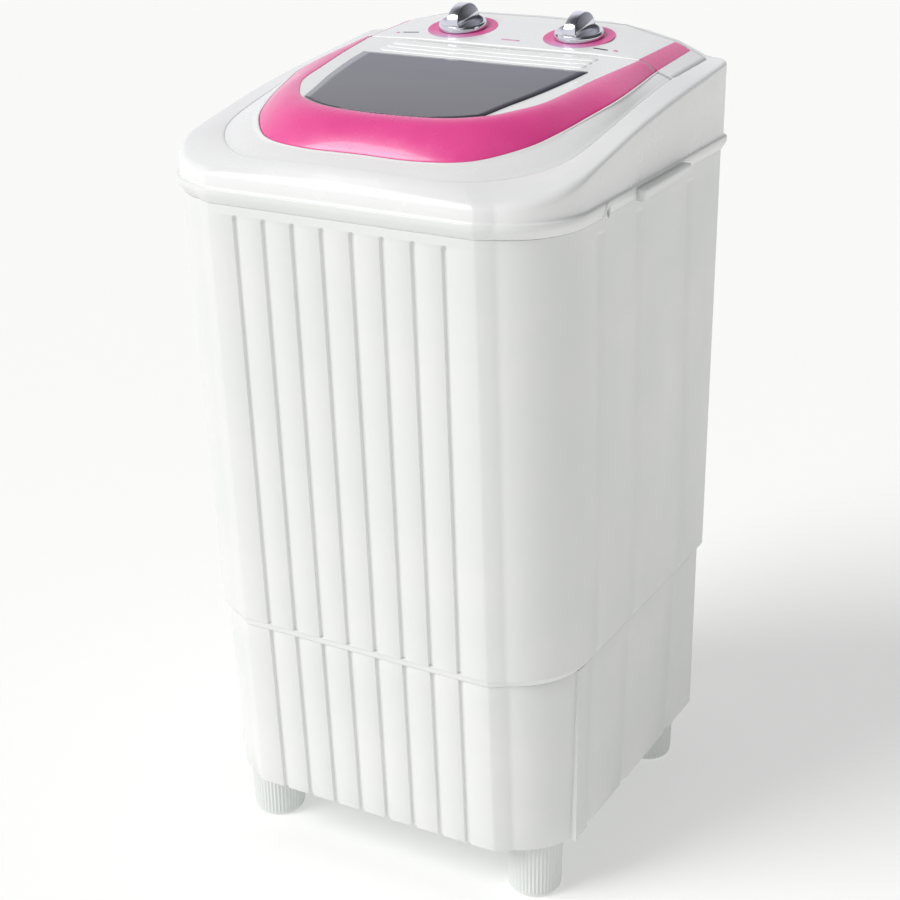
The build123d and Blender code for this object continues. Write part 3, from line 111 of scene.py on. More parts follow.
# Half outlines of the top, from the hinge line to the middle of the front
HINGE_LINE = 111.0
SEAM = ((190, 111, 805), (190, 70, 800.5), (190, 20, 793.5), (187.6, -75, 777), (179, -120.5, 768.5),
        (152.5, -159, 763), (114, -185.5, 760.8), (68, -193, 761.3), (0, -194.5, 762.3))
SEAM_BEND = 3                        # key where the seam leaves the straight side
TRIM_OUTER = ((172.5, 111, 810.4), (176.2, 20, 802.5), (168, -35, 794.2), (158, -78.6, 786.3),
              (142.4, -116.5, 778.9), (108.7, -154, 771.6), (60, -168.2, 769.6), (0, -169.1, 770))
TRIM_INNER = ((154.2, 111, 819.6), (145.5, 46, 815.3), (137.6, -8, 810.6), (130.5, -53, 806.6),
              (116, -83, 803.8), (97.6, -106, 801.5), (59.5, -124, 799.6), (0, -129.5, 798.9))
TRIM_CORNER = 5                      # key where the window's side meets the trim
WINDOW_SIDE = ((126, 52), (122, 16), (113.5, -33), (104, -72))
CURVE_STEPS = 16                     # points from one key of a smooth curve to the next
MARK_T = 0.3                         # thickness of the printed marks
SCREW_Y, SCREW_Z = -94.0, 725.0


def steps(start, end, count):
    """Evenly spaced values, both ends included."""
    return [start + (end - start) * index / (count - 1) for index in range(count)]


def mix(a, b, share):
    """Value part of the way from one to another."""
    return a + (b - a) * share


def ease(value):
    """Smooth rise from 0 to 1."""
    value = min(max(value, 0.0), 1.0)
    return value * value * (3 - 2 * value)


def along(keys, at):
    """Straight-line reading of (place, value) pairs in rising order."""
    for (left, low), (right, high) in zip(keys, keys[1:]):
        if at <= right:
            return mix(low, high, (max(at, left) - left) / (right - left))
    return keys[-1][1]


def mirrored(point):
    """The same point on the other side."""
    return Vector((-point.x, point.y, point.z))


def smooth_curve(keys):
    """Smooth half line through key points that end in the middle of the front."""
    keys = [Vector(key) for key in keys]
    before = 2 * keys[0] - keys[1]
    after = mirrored(keys[-2]) if abs(keys[-1].x) < WELD else 2 * keys[-1] - keys[-2]
    chain = [before] + keys + [after]
    line = []
    for first, start, end, last in zip(chain, chain[1:], chain[2:], chain[3:]):
        handles = (start + (end - first) / 6, end - (last - start) / 6)
        line += interpolate_bezier(start, *handles, end, CURVE_STEPS + 1)[:-1]
    return line + [keys[-1]]


def shares(line):
    """Each point's share of the line's length."""
    lengths = [0.0]
    for start, end in zip(line, line[1:]):
        lengths.append(lengths[-1] + (end - start).length)
    return [length / lengths[-1] for length in lengths]


def walk(line, places):
    """Points of a line at the given shares of its length."""
    found, at = [], shares(line)
    for place in places:
        index = next((i for i in range(1, len(at)) if at[i] >= place - 1e-9), len(at) - 1)
        span = at[index] - at[index - 1]
        found.append(line[index - 1].lerp(line[index], (place - at[index - 1]) / span))
    return found


def inset(line, distance, drop=0.0):
    """A half line moved towards the middle of the machine, and down."""
    moved = []
    for index, point in enumerate(line):
        run = line[min(index + 1, len(line) - 1)] - line[max(index - 1, 0)]
        inward = Vector((run.y, -run.x, 0)).normalized()
        if abs(point.x) < WELD:
            inward = Vector((0, 1, 0))
        moved.append(point + inward * distance - Vector((0, 0, drop)))
    return moved


def between(first, second, share, lift=0.0):
    """Points between two matching lines."""
    return [a.lerp(b, share) + Vector((0, 0, lift)) for a, b in zip(first, second)]


def both_sides(half):
    """Open line from the left rear round the front to the right rear."""
    return [mirrored(point) for point in half] + list(reversed(half))[1:]


def ring(half):
    """Closed line from the middle of the rear round the left, the front and the right."""
    return [mirrored(point) for point in half] + list(reversed(half))[1:-1]


def add_skin(bm, rows, closed=False):
    """Sheet drawn over rows of points, from the outside over to the inside."""
    columns = len(rows[0])
    across = columns if closed else columns - 1
    made = bmesh.ops.create_grid(bm, x_segments=across, y_segments=len(rows) - 1, size=0.5)["verts"]
    for vert in made:
        column = round((vert.co.x + 0.5) * across) % columns if closed else round((vert.co.x + 0.5) * across)
        vert.co = rows[round((vert.co.y + 0.5) * (len(rows) - 1))][column]
    bmesh.ops.remove_doubles(bm, verts=made, dist=WELD)


def add_block(bm, low, high, rounding, segments=3):
    """Block between two corners with rounded edges."""
    made = bmesh.ops.create_cube(bm, size=1.0)["verts"]
    low, high = Vector(low), Vector(high)
    bmesh.ops.scale(bm, vec=high - low, verts=made)
    bmesh.ops.translate(bm, vec=(low + high) / 2, verts=made)
    edges = list(dict.fromkeys(edge for vert in made for edge in vert.link_edges))
    if rounding:
        bmesh.ops.bevel(bm, geom=edges, offset=rounding, segments=segments, profile=0.5, affect="EDGES",
                        material=-1)


def piece(name, bm, body, finish, wall=0.0, replaces=(), crease=40.0):
    """Finished piece on a body from a bmesh in millimetres, with a wall's thickness if it is a sheet."""
    bmesh.ops.scale(bm, vec=(MM, MM, MM), verts=bm.verts)
    mesh = bpy.data.meshes.new(name)
    bm.to_mesh(mesh)
    bm.free()
    mesh.shade_smooth()
    mesh.set_sharp_from_angle(angle=radians(crease))
    obj = bpy.data.objects.new(name, mesh)
    bpy.context.scene.collection.objects.link(obj)
    mesh.materials.append(finish)
    if wall:
        thickness = obj.modifiers.new("wall", "SOLIDIFY")
        thickness.thickness = wall * MM
        thickness.offset = -1.0
    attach(obj, body)
    if replaces:
        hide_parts(*replaces)
    return obj


# ---------------------------------------------------------------- materials

NOISE_SPAN = (0.3, 0.7)              # where most of a noise's values lie


def linear(hex_colour):
    """Linear colour from an sRGB hex value."""
    channels = [int(hex_colour[place:place + 2], 16) / 255 for place in (1, 3, 5)]
    return tuple(c / 12.92 if c <= 0.04045 else ((c + 0.055) / 1.055) ** 2.4 for c in channels) + (1.0,)


def node(tree, kind, settings=None, links=None):
    """Adds a node with its settings, on properties or sockets, and its links."""
    made = tree.nodes.new(kind)
    for key, value in (settings or {}).items():
        if isinstance(key, str) and hasattr(made, key):
            setattr(made, key, value)
        else:
            made.inputs[key].default_value = value
    for key, source in (links or {}).items():
        tree.links.new(source, made.inputs[key])
    return made


def finish_of(name, colour, roughness, metallic=0.0, ior=1.5, coat=0.0):
    """Material with its shader, and the object coordinates that its patterns read."""
    made = bpy.data.materials.new(name)
    made.use_nodes = True
    shader = made.node_tree.nodes["Principled BSDF"]
    shader.inputs["Base Color"].default_value = linear(colour)
    shader.inputs["Roughness"].default_value = roughness
    shader.inputs["Metallic"].default_value = metallic
    if not metallic:
        shader.inputs["IOR"].default_value = ior
    shader.inputs["Coat Weight"].default_value = coat
    place = node(made.node_tree, "ShaderNodeTexCoord").outputs["Object"]
    return made, made.node_tree, shader, place


def mottle(tree, shader, place, size_mm, dark, light):
    """Slow change of colour over the surface, between two hex values."""
    cloud = node(tree, "ShaderNodeTexNoise", {"Scale": 1 / (size_mm * MM), "Detail": 3.0}, {"Vector": place})
    ramp = node(tree, "ShaderNodeValToRGB", {}, {"Fac": cloud.outputs["Fac"]})
    for element, spot, colour in zip(ramp.color_ramp.elements, NOISE_SPAN, (dark, light)):
        element.position = spot
        element.color = linear(colour)
    tree.links.new(ramp.outputs["Color"], shader.inputs["Base Color"])


def tint_along_y(tree, shader, place, stops):
    """Colour that changes from front to rear through (place in metres, hex value) stops."""
    first, last = stops[0][0], stops[-1][0]
    parts = node(tree, "ShaderNodeSeparateXYZ", {}, {"Vector": place})
    share = node(tree, "ShaderNodeMapRange", {"From Min": first, "From Max": last},
                 {"Value": parts.outputs["Y"]})
    ramp = node(tree, "ShaderNodeValToRGB", {}, {"Fac": share.outputs["Result"]})
    while len(ramp.color_ramp.elements) < len(stops):
        ramp.color_ramp.elements.new(0.5)
    for element, (spot, colour) in zip(ramp.color_ramp.elements, stops):
        element.position = (spot - first) / (last - first)
        element.color = linear(colour)
    tree.links.new(ramp.outputs["Color"], shader.inputs["Base Color"])


def gloss_change(tree, shader, place, size_mm, low, high):
    """Roughness that wanders between two values."""
    cloud = node(tree, "ShaderNodeTexNoise", {"Scale": 1 / (size_mm * MM), "Detail": 4.0}, {"Vector": place})
    span = node(tree, "ShaderNodeMapRange",
                {"From Min": NOISE_SPAN[0], "From Max": NOISE_SPAN[1], "To Min": low, "To Max": high},
                {"Value": cloud.outputs["Fac"]})
    tree.links.new(span.outputs["Result"], shader.inputs["Roughness"])


def relief(tree, shader, place, size_mm, height_mm, strength):
    """Fine unevenness of the surface."""
    grain = node(tree, "ShaderNodeTexNoise", {"Scale": 1 / (size_mm * MM), "Detail": 2.0}, {"Vector": place})
    bump = node(tree, "ShaderNodeBump", {"Strength": strength, "Distance": height_mm * MM},
                {"Height": grain.outputs["Fac"]})
    tree.links.new(bump.outputs["Normal"], shader.inputs["Normal"])


def moulded_abs_white():
    """Injection-moulded white ABS: satin, faintly uneven where the wall sinks over its ribs."""
    made, tree, shader, place = finish_of("moulded_abs_white", "#E9EAE8", 0.36, ior=1.53)
    mottle(tree, shader, place, 90, "#E7E9E6", "#ECECEB")
    gloss_change(tree, shader, place, 25, 0.32, 0.42)
    relief(tree, shader, place, 14, 0.06, 0.25)
    return made


def polished_abs_white():
    """White ABS from a polished tool: the glossier, slightly brighter lid and cover."""
    made, tree, shader, place = finish_of("polished_abs_white", "#F1F1F0", 0.24, ior=1.53)
    mottle(tree, shader, place, 120, "#EFEFEE", "#F3F3F2")
    gloss_change(tree, shader, place, 30, 0.2, 0.29)
    relief(tree, shader, place, 22, 0.05, 0.2)
    return made


def gloss_abs_pink():
    """Pink ABS from a polished tool, with soft broad highlights."""
    made, tree, shader, place = finish_of("gloss_abs_pink", "#EE4C98", 0.26, ior=1.53, coat=0.25)
    mottle(tree, shader, place, 70, "#EA4593", "#F1519C")
    gloss_change(tree, shader, place, 18, 0.22, 0.3)
    relief(tree, shader, place, 16, 0.05, 0.2)
    return made


def smoked_acrylic_painted_light():
    """Smoked acrylic window: dark, see-through and polished, with painted reflection and painted shade in its
    colour.
    """
    made, tree, shader, place = finish_of("smoked_acrylic_painted_light", "#6A6878", 0.05, ior=1.49)
    shader.inputs["Transmission Weight"].default_value = 0.35
    # Painted reflection and painted shade: lighter grey at the front and darker blue towards the rear, standing in
    # for the view into the tub and the reflection of the dark surroundings.
    tint_along_y(tree, shader, place,
                 ((-0.125, "#5E5A64"), (-0.07, "#57535F"), (0.02, "#434458"), (0.05, "#3C3E55")))
    relief(tree, shader, place, 60, 0.1, 0.1)
    return made


def plated_chrome():
    """Bright chrome plate on plastic: a mirror with a trace of waviness."""
    made, tree, shader, place = finish_of("plated_chrome", "#DCDDE3", 0.07, metallic=1.0)
    gloss_change(tree, shader, place, 6, 0.05, 0.1)
    relief(tree, shader, place, 9, 0.03, 0.15)
    return made


def printed_foil():
    """Printed pink foil of the dials, paler towards its front edge."""
    made, tree, shader, place = finish_of("printed_foil", "#E9609F", 0.42, ior=1.5)
    tint_along_y(tree, shader, place,
                 ((0.118, "#C9B8DC"), (0.128, "#DE8FC0"), (0.142, "#E65C9E"), (0.19, "#E7609F")))
    relief(tree, shader, place, 3, 0.02, 0.2)
    return made


def moulded_pp(name, colour, roughness):
    """Moulded polypropylene: dull, with a fine tool texture."""
    made, tree, shader, place = finish_of(name, colour, roughness, ior=1.49)
    gloss_change(tree, shader, place, 12, roughness - 0.06, roughness + 0.06)
    relief(tree, shader, place, 2.5, 0.05, 0.3)
    return made


def ground_steel(name, colour, roughness):
    """Turned, ground or pressed steel with fine uneven sheen."""
    made, tree, shader, place = finish_of(name, colour, roughness, metallic=1.0)
    gloss_change(tree, shader, place, 5, roughness - 0.08, roughness + 0.08)
    relief(tree, shader, place, 1.5, 0.02, 0.3)
    return made


def moulded_rubber(name, colour):
    """Black moulded rubber with a dusty bloom."""
    made, tree, shader, place = finish_of(name, colour, 0.75, ior=1.52)
    mottle(tree, shader, place, 8, colour, "#2A2A2B")
    relief(tree, shader, place, 1.2, 0.05, 0.4)
    return made


def woven_mesh():
    """Woven nylon mesh of the lint bag, threads drawn at 2 mm so that they show."""
    made, tree, shader, place = finish_of("woven_mesh", "#BFD2DE", 0.8)
    thread = {"Scale": 1 / (2 * MM), "bands_direction": "X"}
    warp = node(tree, "ShaderNodeTexWave", thread, {"Vector": place})
    weft = node(tree, "ShaderNodeTexWave", {**thread, "bands_direction": "Z"}, {"Vector": place})
    weave = node(tree, "ShaderNodeMath", {"operation": "MAXIMUM"},
                 {0: warp.outputs["Fac"], 1: weft.outputs["Fac"]})
    bump = node(tree, "ShaderNodeBump", {"Strength": 0.6, "Distance": 0.3 * MM}, {"Height": weave.outputs[0]})
    tree.links.new(bump.outputs["Normal"], shader.inputs["Normal"])
    return made


finishes = {
    "shell_white": moulded_abs_white(),
    "cover_white": polished_abs_white(),
    "trim_pink": gloss_abs_pink(),
    "window_smoke": smoked_acrylic_painted_light(),
    "knob_chrome": plated_chrome(),
    "dial_foil": printed_foil(),
    "tub_plastic": moulded_pp("moulded_pp_tub", "#DFE3E4", 0.42),
    "pulsator_plastic": moulded_pp("moulded_pp_pulsator", "#DCE0E6", 0.3),
    "inner_plastic": moulded_pp("moulded_pp_inner", "#C9CCCB", 0.5),
    "black_plastic": moulded_pp("moulded_pp_black", "#1E1E20", 0.5),
    "shaft_steel": ground_steel("ground_steel", "#C2C4C6", 0.25),
    "bush_bronze": ground_steel("sintered_bronze", "#B58A4E", 0.45),
    "seal_rubber": moulded_rubber("nitrile_rubber", "#1A1A1B"),
    "belt_rubber": moulded_rubber("belt_rubber", "#151516"),
    "pulley_plastic": moulded_pp("glass_filled_nylon", "#2E2E30", 0.5),
    "housing_alloy": ground_steel("die_cast_alloy", "#B9BBBD", 0.5),
    "motor_paint": moulded_pp("stoved_enamel_grey", "#4A4D50", 0.35),
    "chassis_zinc": ground_steel("galvanised_steel", "#B4B8BA", 0.42),
    "screw_zinc": ground_steel("zinc_plated_steel", "#BFC0BC", 0.32),
    "capacitor_case": moulded_pp("capacitor_case", "#D2D4D6", 0.4),
    "filter_mesh": woven_mesh(),
    "foot_plastic": moulded_pp("moulded_foot", "#E3E6E3", 0.4),
}


def dress_cad_nodes():
    """Gives every CAD node the finish of its material slot."""
    for part in frame["record"]["subparts"]:
        mesh = frame["nodes"][part["node"]].data
        mesh.materials.clear()
        mesh.materials.append(finishes[part["material_slot"]])


# ---------------------------------------------------------------- shell

def arc(x, y, radius, start, end, count):
    """Points of an arc in plan, angles in degrees from +X."""
    return [(x + radius * cos(radians(a)), y + radius * sin(radians(a))) for a in steps(start, end, count)]


def front_plan(half, front, channel=0.0, deep=0.0):
    """Right half of a plan's front: corner column, bevel and channelled panel, up to the middle."""
    corner_x, corner_y = half - FRONT_R, front + PROUD + FRONT_R
    bevel_end = PANEL_HALF + BEVEL
    turn = degrees(acos((bevel_end - corner_x) / FRONT_R))
    points = arc(corner_x, corner_y, FRONT_R, 0, -turn, CORNER_STEPS)
    rise = points[-1][1] - front
    points += [(bevel_end - 0.8, front + rise * 0.93), (PANEL_HALF + 1.4, front + rise * 0.07),
               (PANEL_HALF - 1.0, front)]
    for index in (3, 2, 1, 0):
        middle = (index + 0.5) * CHANNEL_PITCH
        points += [(middle - share * channel, front + depth * deep) for share, depth in CHANNEL_SHAPE]
    return points + [(0.0, front)]


def half_plan(half, front, rear, grooves=(), channel=0.0, deep=0.0):
    """Right half of a plan, from the middle of the rear to the middle of the front."""
    points = [(0.0, rear), (HATCH_HALF, rear)]
    points += arc(half - REAR_R, rear - REAR_R, REAR_R, 90, 0, REAR_STEPS)
    for middle, width, depth, shape in grooves:
        points += [(half - share * depth, middle - place * width) for place, share in shape]
    return points + front_plan(half, front, channel, deep)


def level(plan, z):
    """Closed ring of a half plan at one height."""
    return ring([Vector((x, y, z)) for x, y in plan])


def cabinet_row(z, set_in=0.0, front_in=0.0, channel=1.0, deep=1.0):
    """Ring of the cabinet at one height, drawn in at the sides and at the front."""
    rise = (z - STEP_Z) / (DECK_Z - STEP_Z)
    fade = ease((SIDE_TOP_Z - z) / 3) * ease((z - STEP_Z) / HEM)
    grooves = [(mix(step, top, rise), SIDE_HALF, SIDE_DEEP * fade, SIDE_SHAPE)
               for step, top in zip(SIDE_AT_STEP, SIDE_AT_TOP)]
    plan = half_plan(CABINET_HALF - set_in, mix(CABINET_TOE, cabinet_low.y, rise) + front_in,
                     cabinet_high.y - set_in, grooves, CHANNEL_HALF * channel, CHANNEL_DEEP * deep)
    return level(plan, z)


def make_cabinet():
    """Cabinet skin: turned-in hem, leaning front with round-topped channels, side channels."""
    rows = [cabinet_row(STEP_Z + up, set_in, front_in, deep=0.0) for up, set_in, front_in in HEM_PROFILE]
    rows += [cabinet_row(STEP_Z + HEM + up) for up in (0.2, 1.0)]
    rows += [cabinet_row(z) for z in steps(STEP_Z + 30, SIDE_TOP_Z - 6, 9)]
    middle_z = CHANNEL_TOP_Z - CHANNEL_HALF
    rows += [cabinet_row(z) for z in (SIDE_TOP_Z - 3, SIDE_TOP_Z - 2, SIDE_TOP_Z - 1)]
    for turn in (0, 30, 50, 65, 78, 90):
        width = cos(radians(turn))
        rows.append(cabinet_row(middle_z + CHANNEL_HALF * sin(radians(turn)), 0, 0, width, width ** 0.3))
    rows += [cabinet_row(DECK_Z - down, set_in, set_in, 0, 0)
             for down, set_in in ((4, 0), (0.6, 0), (0, 0.6), (0, 6))]
    bm = bmesh.new()
    add_skin(bm, rows, closed=True)
    piece("cabinet_skin", bm, "housing", finishes["shell_white"], SHELL_WALL, ["cabinet"])


def base_row(z, set_in=0.0):
    """Ring of the base at one height."""
    rise = (z - BASE_Z) / (STEP_Z - BASE_Z)
    grooves = [(mix(foot, step, rise), SIDE_HALF, SIDE_DEEP, SIDE_SHAPE)
               for foot, step in zip(SIDE_AT_FOOT, SIDE_AT_STEP)]
    grooves.append((CORNER_GROOVE_Y, CORNER_GROOVE_HALF, CORNER_GROOVE_DEEP, GROOVE_SHAPE))
    plan = half_plan(BASE_HALF - set_in, mix(BASE_TOE, base_low.y, rise) + set_in, base_high.y - set_in,
                     grooves, CHANNEL_HALF, CHANNEL_DEEP)
    return level(plan, z)


def make_base():
    """Base skin with the same channels, the deep grooves behind its corner columns and its rear openings."""
    hatch_low, hatch_high = corners("rear_cover")
    sill, head = hatch_low.z + 8, hatch_high.z - 8
    rows = [base_row(BASE_Z + up, set_in) for up, set_in in ((0, 2.4), (0, 0.9), (0.3, 0.25), (1, 0))]
    rows += [base_row(z) for z in (sill, *steps(sill + 20, head - 20, 4), head, STEP_Z - 20)]
    rows += [base_row(STEP_Z - down, set_in) for down, set_in in ((1, 0), (0.3, 0.3), (0, 1), (0, 9))]
    bm = bmesh.new()
    add_skin(bm, rows, closed=True)
    middles = [(face, face.calc_center_median()) for face in bm.faces]
    hatch = [face for face, middle in middles if middle.y > base_high.y - 1
             and abs(middle.x) < HATCH_HALF and sill < middle.z < head]
    bmesh.ops.delete(bm, geom=hatch, context="FACES")
    piece("base_skin", bm, "housing", finishes["shell_white"], SHELL_WALL, ["base_skirt"])


def make_collar():
    """Collar: flares from the seam to a soft ridge that the cover stands inside."""
    rows = []
    for z, set_in in COLLAR_PROFILE:
        plan = half_plan(COLLAR_HALF - set_in, collar_low.y + set_in, collar_high.y - set_in)
        rows.append(level(plan, z))
    bm = bmesh.new()
    add_skin(bm, rows, closed=True)
    piece("rim_collar_skin", bm, "housing", finishes["shell_white"], SHELL_WALL,
          ["rim_collar"])


# ---------------------------------------------------------------- top

HINGE_SECTION = ((0, 822.5), (100, 822.5), (152, 820.6), (156, 819.4), (172, 810.4), (190, 805.0))
REAR_SECTION = ((0, 835.4), (100, 834.4), (152, 824.6), (156, 823.4), (172, 816.6), (190, 808.6))
PANEL_FRONT, PANEL_REAR = 112.4, 203.0
SIDE_CREASE = ((-212, 747.3), (-200, 748.6), (-180, 753.6), (-152, 761.6), (-87, 773.2), (-22, 784.6),
               (47, 793.2), (121, 800.4), (212, 809.2))
COVER_SIDE_Y = (180, 160, 140, 125, 113, 112.2, 111.4, 95, 75, 50, 20, -10, -40, -60, -74.9)
# Foot of the cover's wall: height over the ridge, how far out
COVER_FOOT = ((-0.4, 1.3), (0.15, 0.9), (0.7, 0.35), (1.6, 0.0))
# Lip round the lid's opening: share of the way in, drop
COVER_LIP = ((0, 0), (0.35, 0.12), (0.8, 0.5), (1.0, 1.1), (1.0, 4.6))
LIP_IN = 1.0
LEDGE, LEDGE_TOP, LEDGE_UNDER = 9.0, 4.8, 8.0    # the ledge's width, and drops to its top and underside
COVER_WALL = 2.2
PANEL_COLUMNS = (0, 20, 40, 60, 80, 100, 120, 140, 152, 154, 156, 160, 166, 172, 173.5, 178, 184, 190.4)
# Rounded front edge of the panel: how far behind its front, drop
PANEL_EDGE = ((0.4, 7.0), (0, 2.6), (0.15, 1.4), (0.7, 0.5), (1.7, 0.08), (3.2, 0.0))
SHELF_HALF, SHELF_FRONT, SHELF_REAR, SHELF_T = 204, 94, 118, 4
EAR_INNER_X, EAR_OUTER_X = 138.0, 145.0


def panel_z(x, y):
    """Height of the control panel."""
    share = (y - PANEL_FRONT) / (PANEL_REAR - PANEL_FRONT)
    rise = mix(along(HINGE_SECTION, abs(x)), along(REAR_SECTION, abs(x)), share)
    return rise + 2.2 * ease((y - 190) / 14) * ease((150 - abs(x)) / 60)


def cover_outlines():
    """Matching half outlines of the cover: its wall in plan, and the inner edge of its top band."""
    seam = smooth_curve(SEAM)
    straight, bend = seam[:SEAM_BEND * CURVE_STEPS + 1], seam[SEAM_BEND * CURVE_STEPS:]
    by_place = sorted((point.y, point) for point in straight)
    wall = [Vector((x, cover_high.y, 0)) for x in (0, 40, 80, 120, 140, 156, 172, 186)]
    edge = [Vector((x, PANEL_REAR, panel_z(x, PANEL_REAR))) for x in (0, 40, 80, 120, 140, 152, 168, 182)]
    wall += [Vector((x, y, 0)) for x, y in arc(COVER_HALF - REAR_R, cover_high.y - REAR_R, REAR_R, 90, 0, 8)]
    edge += [Vector((x, y, panel_z(x, y))) for x, y in arc(184, PANEL_REAR - 6, 6, 90, 0, 8)]
    for y in COVER_SIDE_Y:
        wall.append(Vector((COVER_HALF, y, 0)))
        if y > HINGE_LINE:
            edge.append(Vector((190, y, panel_z(190, y))))
        else:
            edge.append(Vector((along([(at, p.x) for at, p in by_place], y), y,
                                along([(at, p.z) for at, p in by_place], y))))
    front = [Vector((COVER_HALF, y, 0)) for y in (-90, -110)]
    front += [Vector((x, y, 0)) for x, y in front_plan(COVER_HALF, cover_low.y)]
    front = [point for index, point in enumerate(front)
             if index == 0 or (point - front[index - 1]).length > 0.3]
    start = wall[-1]
    places = shares([start] + front)[1:]
    return wall + front, edge + walk(bend, places)


def crease_z(point):
    """Height at which the cover's wall turns into its top."""
    if point.y > 195 and point.x < 190:
        return panel_z(point.x, PANEL_REAR) + 0.4
    return along(SIDE_CREASE, point.y)


def add_cover_shell(bm):
    """Wall, rounded crease and top band of the cover, with the lip and ledge round the lid opening."""
    wall, edge = cover_outlines()
    rows = [[] for _ in range(24)]
    inner = inset(edge, LIP_IN)
    ledge = inset(edge, LEDGE)
    for index, (foot, seam) in enumerate(zip(wall, edge)):
        top = Vector((foot.x, foot.y, crease_z(foot)))
        radius = 4.5 + 5.0 * ease((-foot.y - 90) / 90)
        start = top - Vector((0, 0, radius))
        reach = seam - top
        end = top + reach * min(radius / reach.length, 0.45)
        run = wall[min(index + 1, len(wall) - 1)] - wall[max(index - 1, 0)]
        outward = Vector((-run.y, run.x, 0)).normalized()
        column = [Vector((foot.x, foot.y, RIDGE_Z + up)) + outward * out for up, out in COVER_FOOT]
        column.append(Vector((foot.x, foot.y, mix(RIDGE_Z, start.z, 0.6))))
        column += interpolate_bezier(start, start.lerp(top, 0.67), end.lerp(top, 0.67), end, 8)
        crown = 0.9 * ease((-foot.y - 60) / 80)
        column += [end.lerp(seam, s) + Vector((0, 0, crown * sin(pi * s))) for s in (0.25, 0.5, 0.75, 0.92)]
        open_side = 1.0 if seam.y < HINGE_LINE + 0.6 else 0.0
        for lean, drop in COVER_LIP:
            column.append(seam.lerp(inner[index], lean * open_side) - Vector((0, 0, drop * open_side)))
        for drop in (LEDGE_TOP, LEDGE_UNDER):
            column.append(seam.lerp(ledge[index], open_side) - Vector((0, 0, drop * open_side)))
        for row, point in zip(rows, column):
            row.append(point)
    add_skin(bm, [ring(row) for row in rows], closed=True)


def add_panel(bm):
    """Control panel with its rounded front edge over the hinge."""
    columns = [-x for x in PANEL_COLUMNS[:0:-1]] + list(PANEL_COLUMNS)
    rows = []
    for behind, drop in PANEL_EDGE:
        y = PANEL_FRONT + behind
        rows.append([Vector((x, y, panel_z(x, y) - drop)) for x in columns])
    for y in (*steps(122, 188, 7), 191, 194, 197, 200, PANEL_REAR + 0.4):
        rows.append([Vector((x, y, panel_z(x, y) - (0.05 if y > PANEL_REAR else 0))) for x in columns])
    add_skin(bm, rows)


def make_cover():
    """Wedge-shaped cover in one moulding."""
    bm = bmesh.new()
    add_cover_shell(bm)
    add_panel(bm)
    pin_low, pin_high = corners("hinge_pin_right")
    pin_z = (pin_low.z + pin_high.z) / 2
    shelf = pin_z - 20
    add_block(bm, (-SHELF_HALF, SHELF_FRONT, shelf - SHELF_T), (SHELF_HALF, SHELF_REAR, shelf), 0.8)
    for side in (-1, 1):
        low, high = sorted((side * EAR_INNER_X, side * EAR_OUTER_X))
        add_block(bm, (low, HINGE_LINE - 8.6, shelf - 1), (high, HINGE_LINE - 0.2, pin_z + 4.4), 1.6)
    piece("top_cover_moulding", bm, "housing", finishes["cover_white"], COVER_WALL,
          ["top_cover"])


LINE_PLACES = steps(0, 1, 61)        # points of the lid's outlines
SIDE_PLACES, FRONT_PLACES = steps(0, 1, 37), steps(0, 1, 31)
FLANGE_EDGE_DROPS = (4.6, 1.3)
BEAD = ((-2.2, 0.03), (-1.6, 0.16), (-0.9, 0.25), (-0.35, 0.1), (0.0, -0.4), (0.2, -1.6))    # in, up
TRIM_T = 1.6                         # depth of the seat under the pink band
LIP_LEAN, LIP_DROP = 0.06, 2.6       # how the window frame's lip leans inwards under the plate
LID_MIDDLE_Y = -38


def trim_height(share):
    """Rise of the trim's rounded shoulder from its outer to its inner edge."""
    return sin(share * pi / 2) ** 0.92


def shoulder_row(outer, inner, share, lift):
    """One line along the shoulder between the trim's two edges."""
    row = []
    for a, b in zip(outer, inner):
        spot = a.lerp(b, share)
        spot.z = mix(a.z, b.z, trim_height(share)) + lift
        row.append(spot)
    return row


def window_lines():
    """Half outline of the window's opening, in the order rear edge, side and front."""
    trim = smooth_curve(TRIM_INNER)
    turn = TRIM_CORNER * CURVE_STEPS
    front = walk(inset(trim[turn:], 1.4, 0.1), FRONT_PLACES)
    keys = [Vector((x, y, top_z(x, y))) for x, y in WINDOW_SIDE] + [front[0]]
    side = walk(smooth_curve(keys), SIDE_PLACES)
    rear = [Vector((x, side[0].y, top_z(x, side[0].y))) for x in steps(0, side[0].x, 11)]
    frame_rear = [Vector((x, HINGE_LINE, top_z(x, HINGE_LINE))) for x in steps(0, trim[0].x, 11)]
    frame_side = walk(trim[:turn + 1], SIDE_PLACES)
    frame_front = walk(trim[turn:], FRONT_PLACES)
    return (rear[:-1] + side[:-1] + front), (frame_rear[:-1] + frame_side[:-1] + frame_front)


def top_z(x, y):
    """Height of the lid's flat top."""
    return 810.3 + 0.085 * y + 2.17 * (x / 200) ** 2 - 0.27 * (y / 100) ** 2


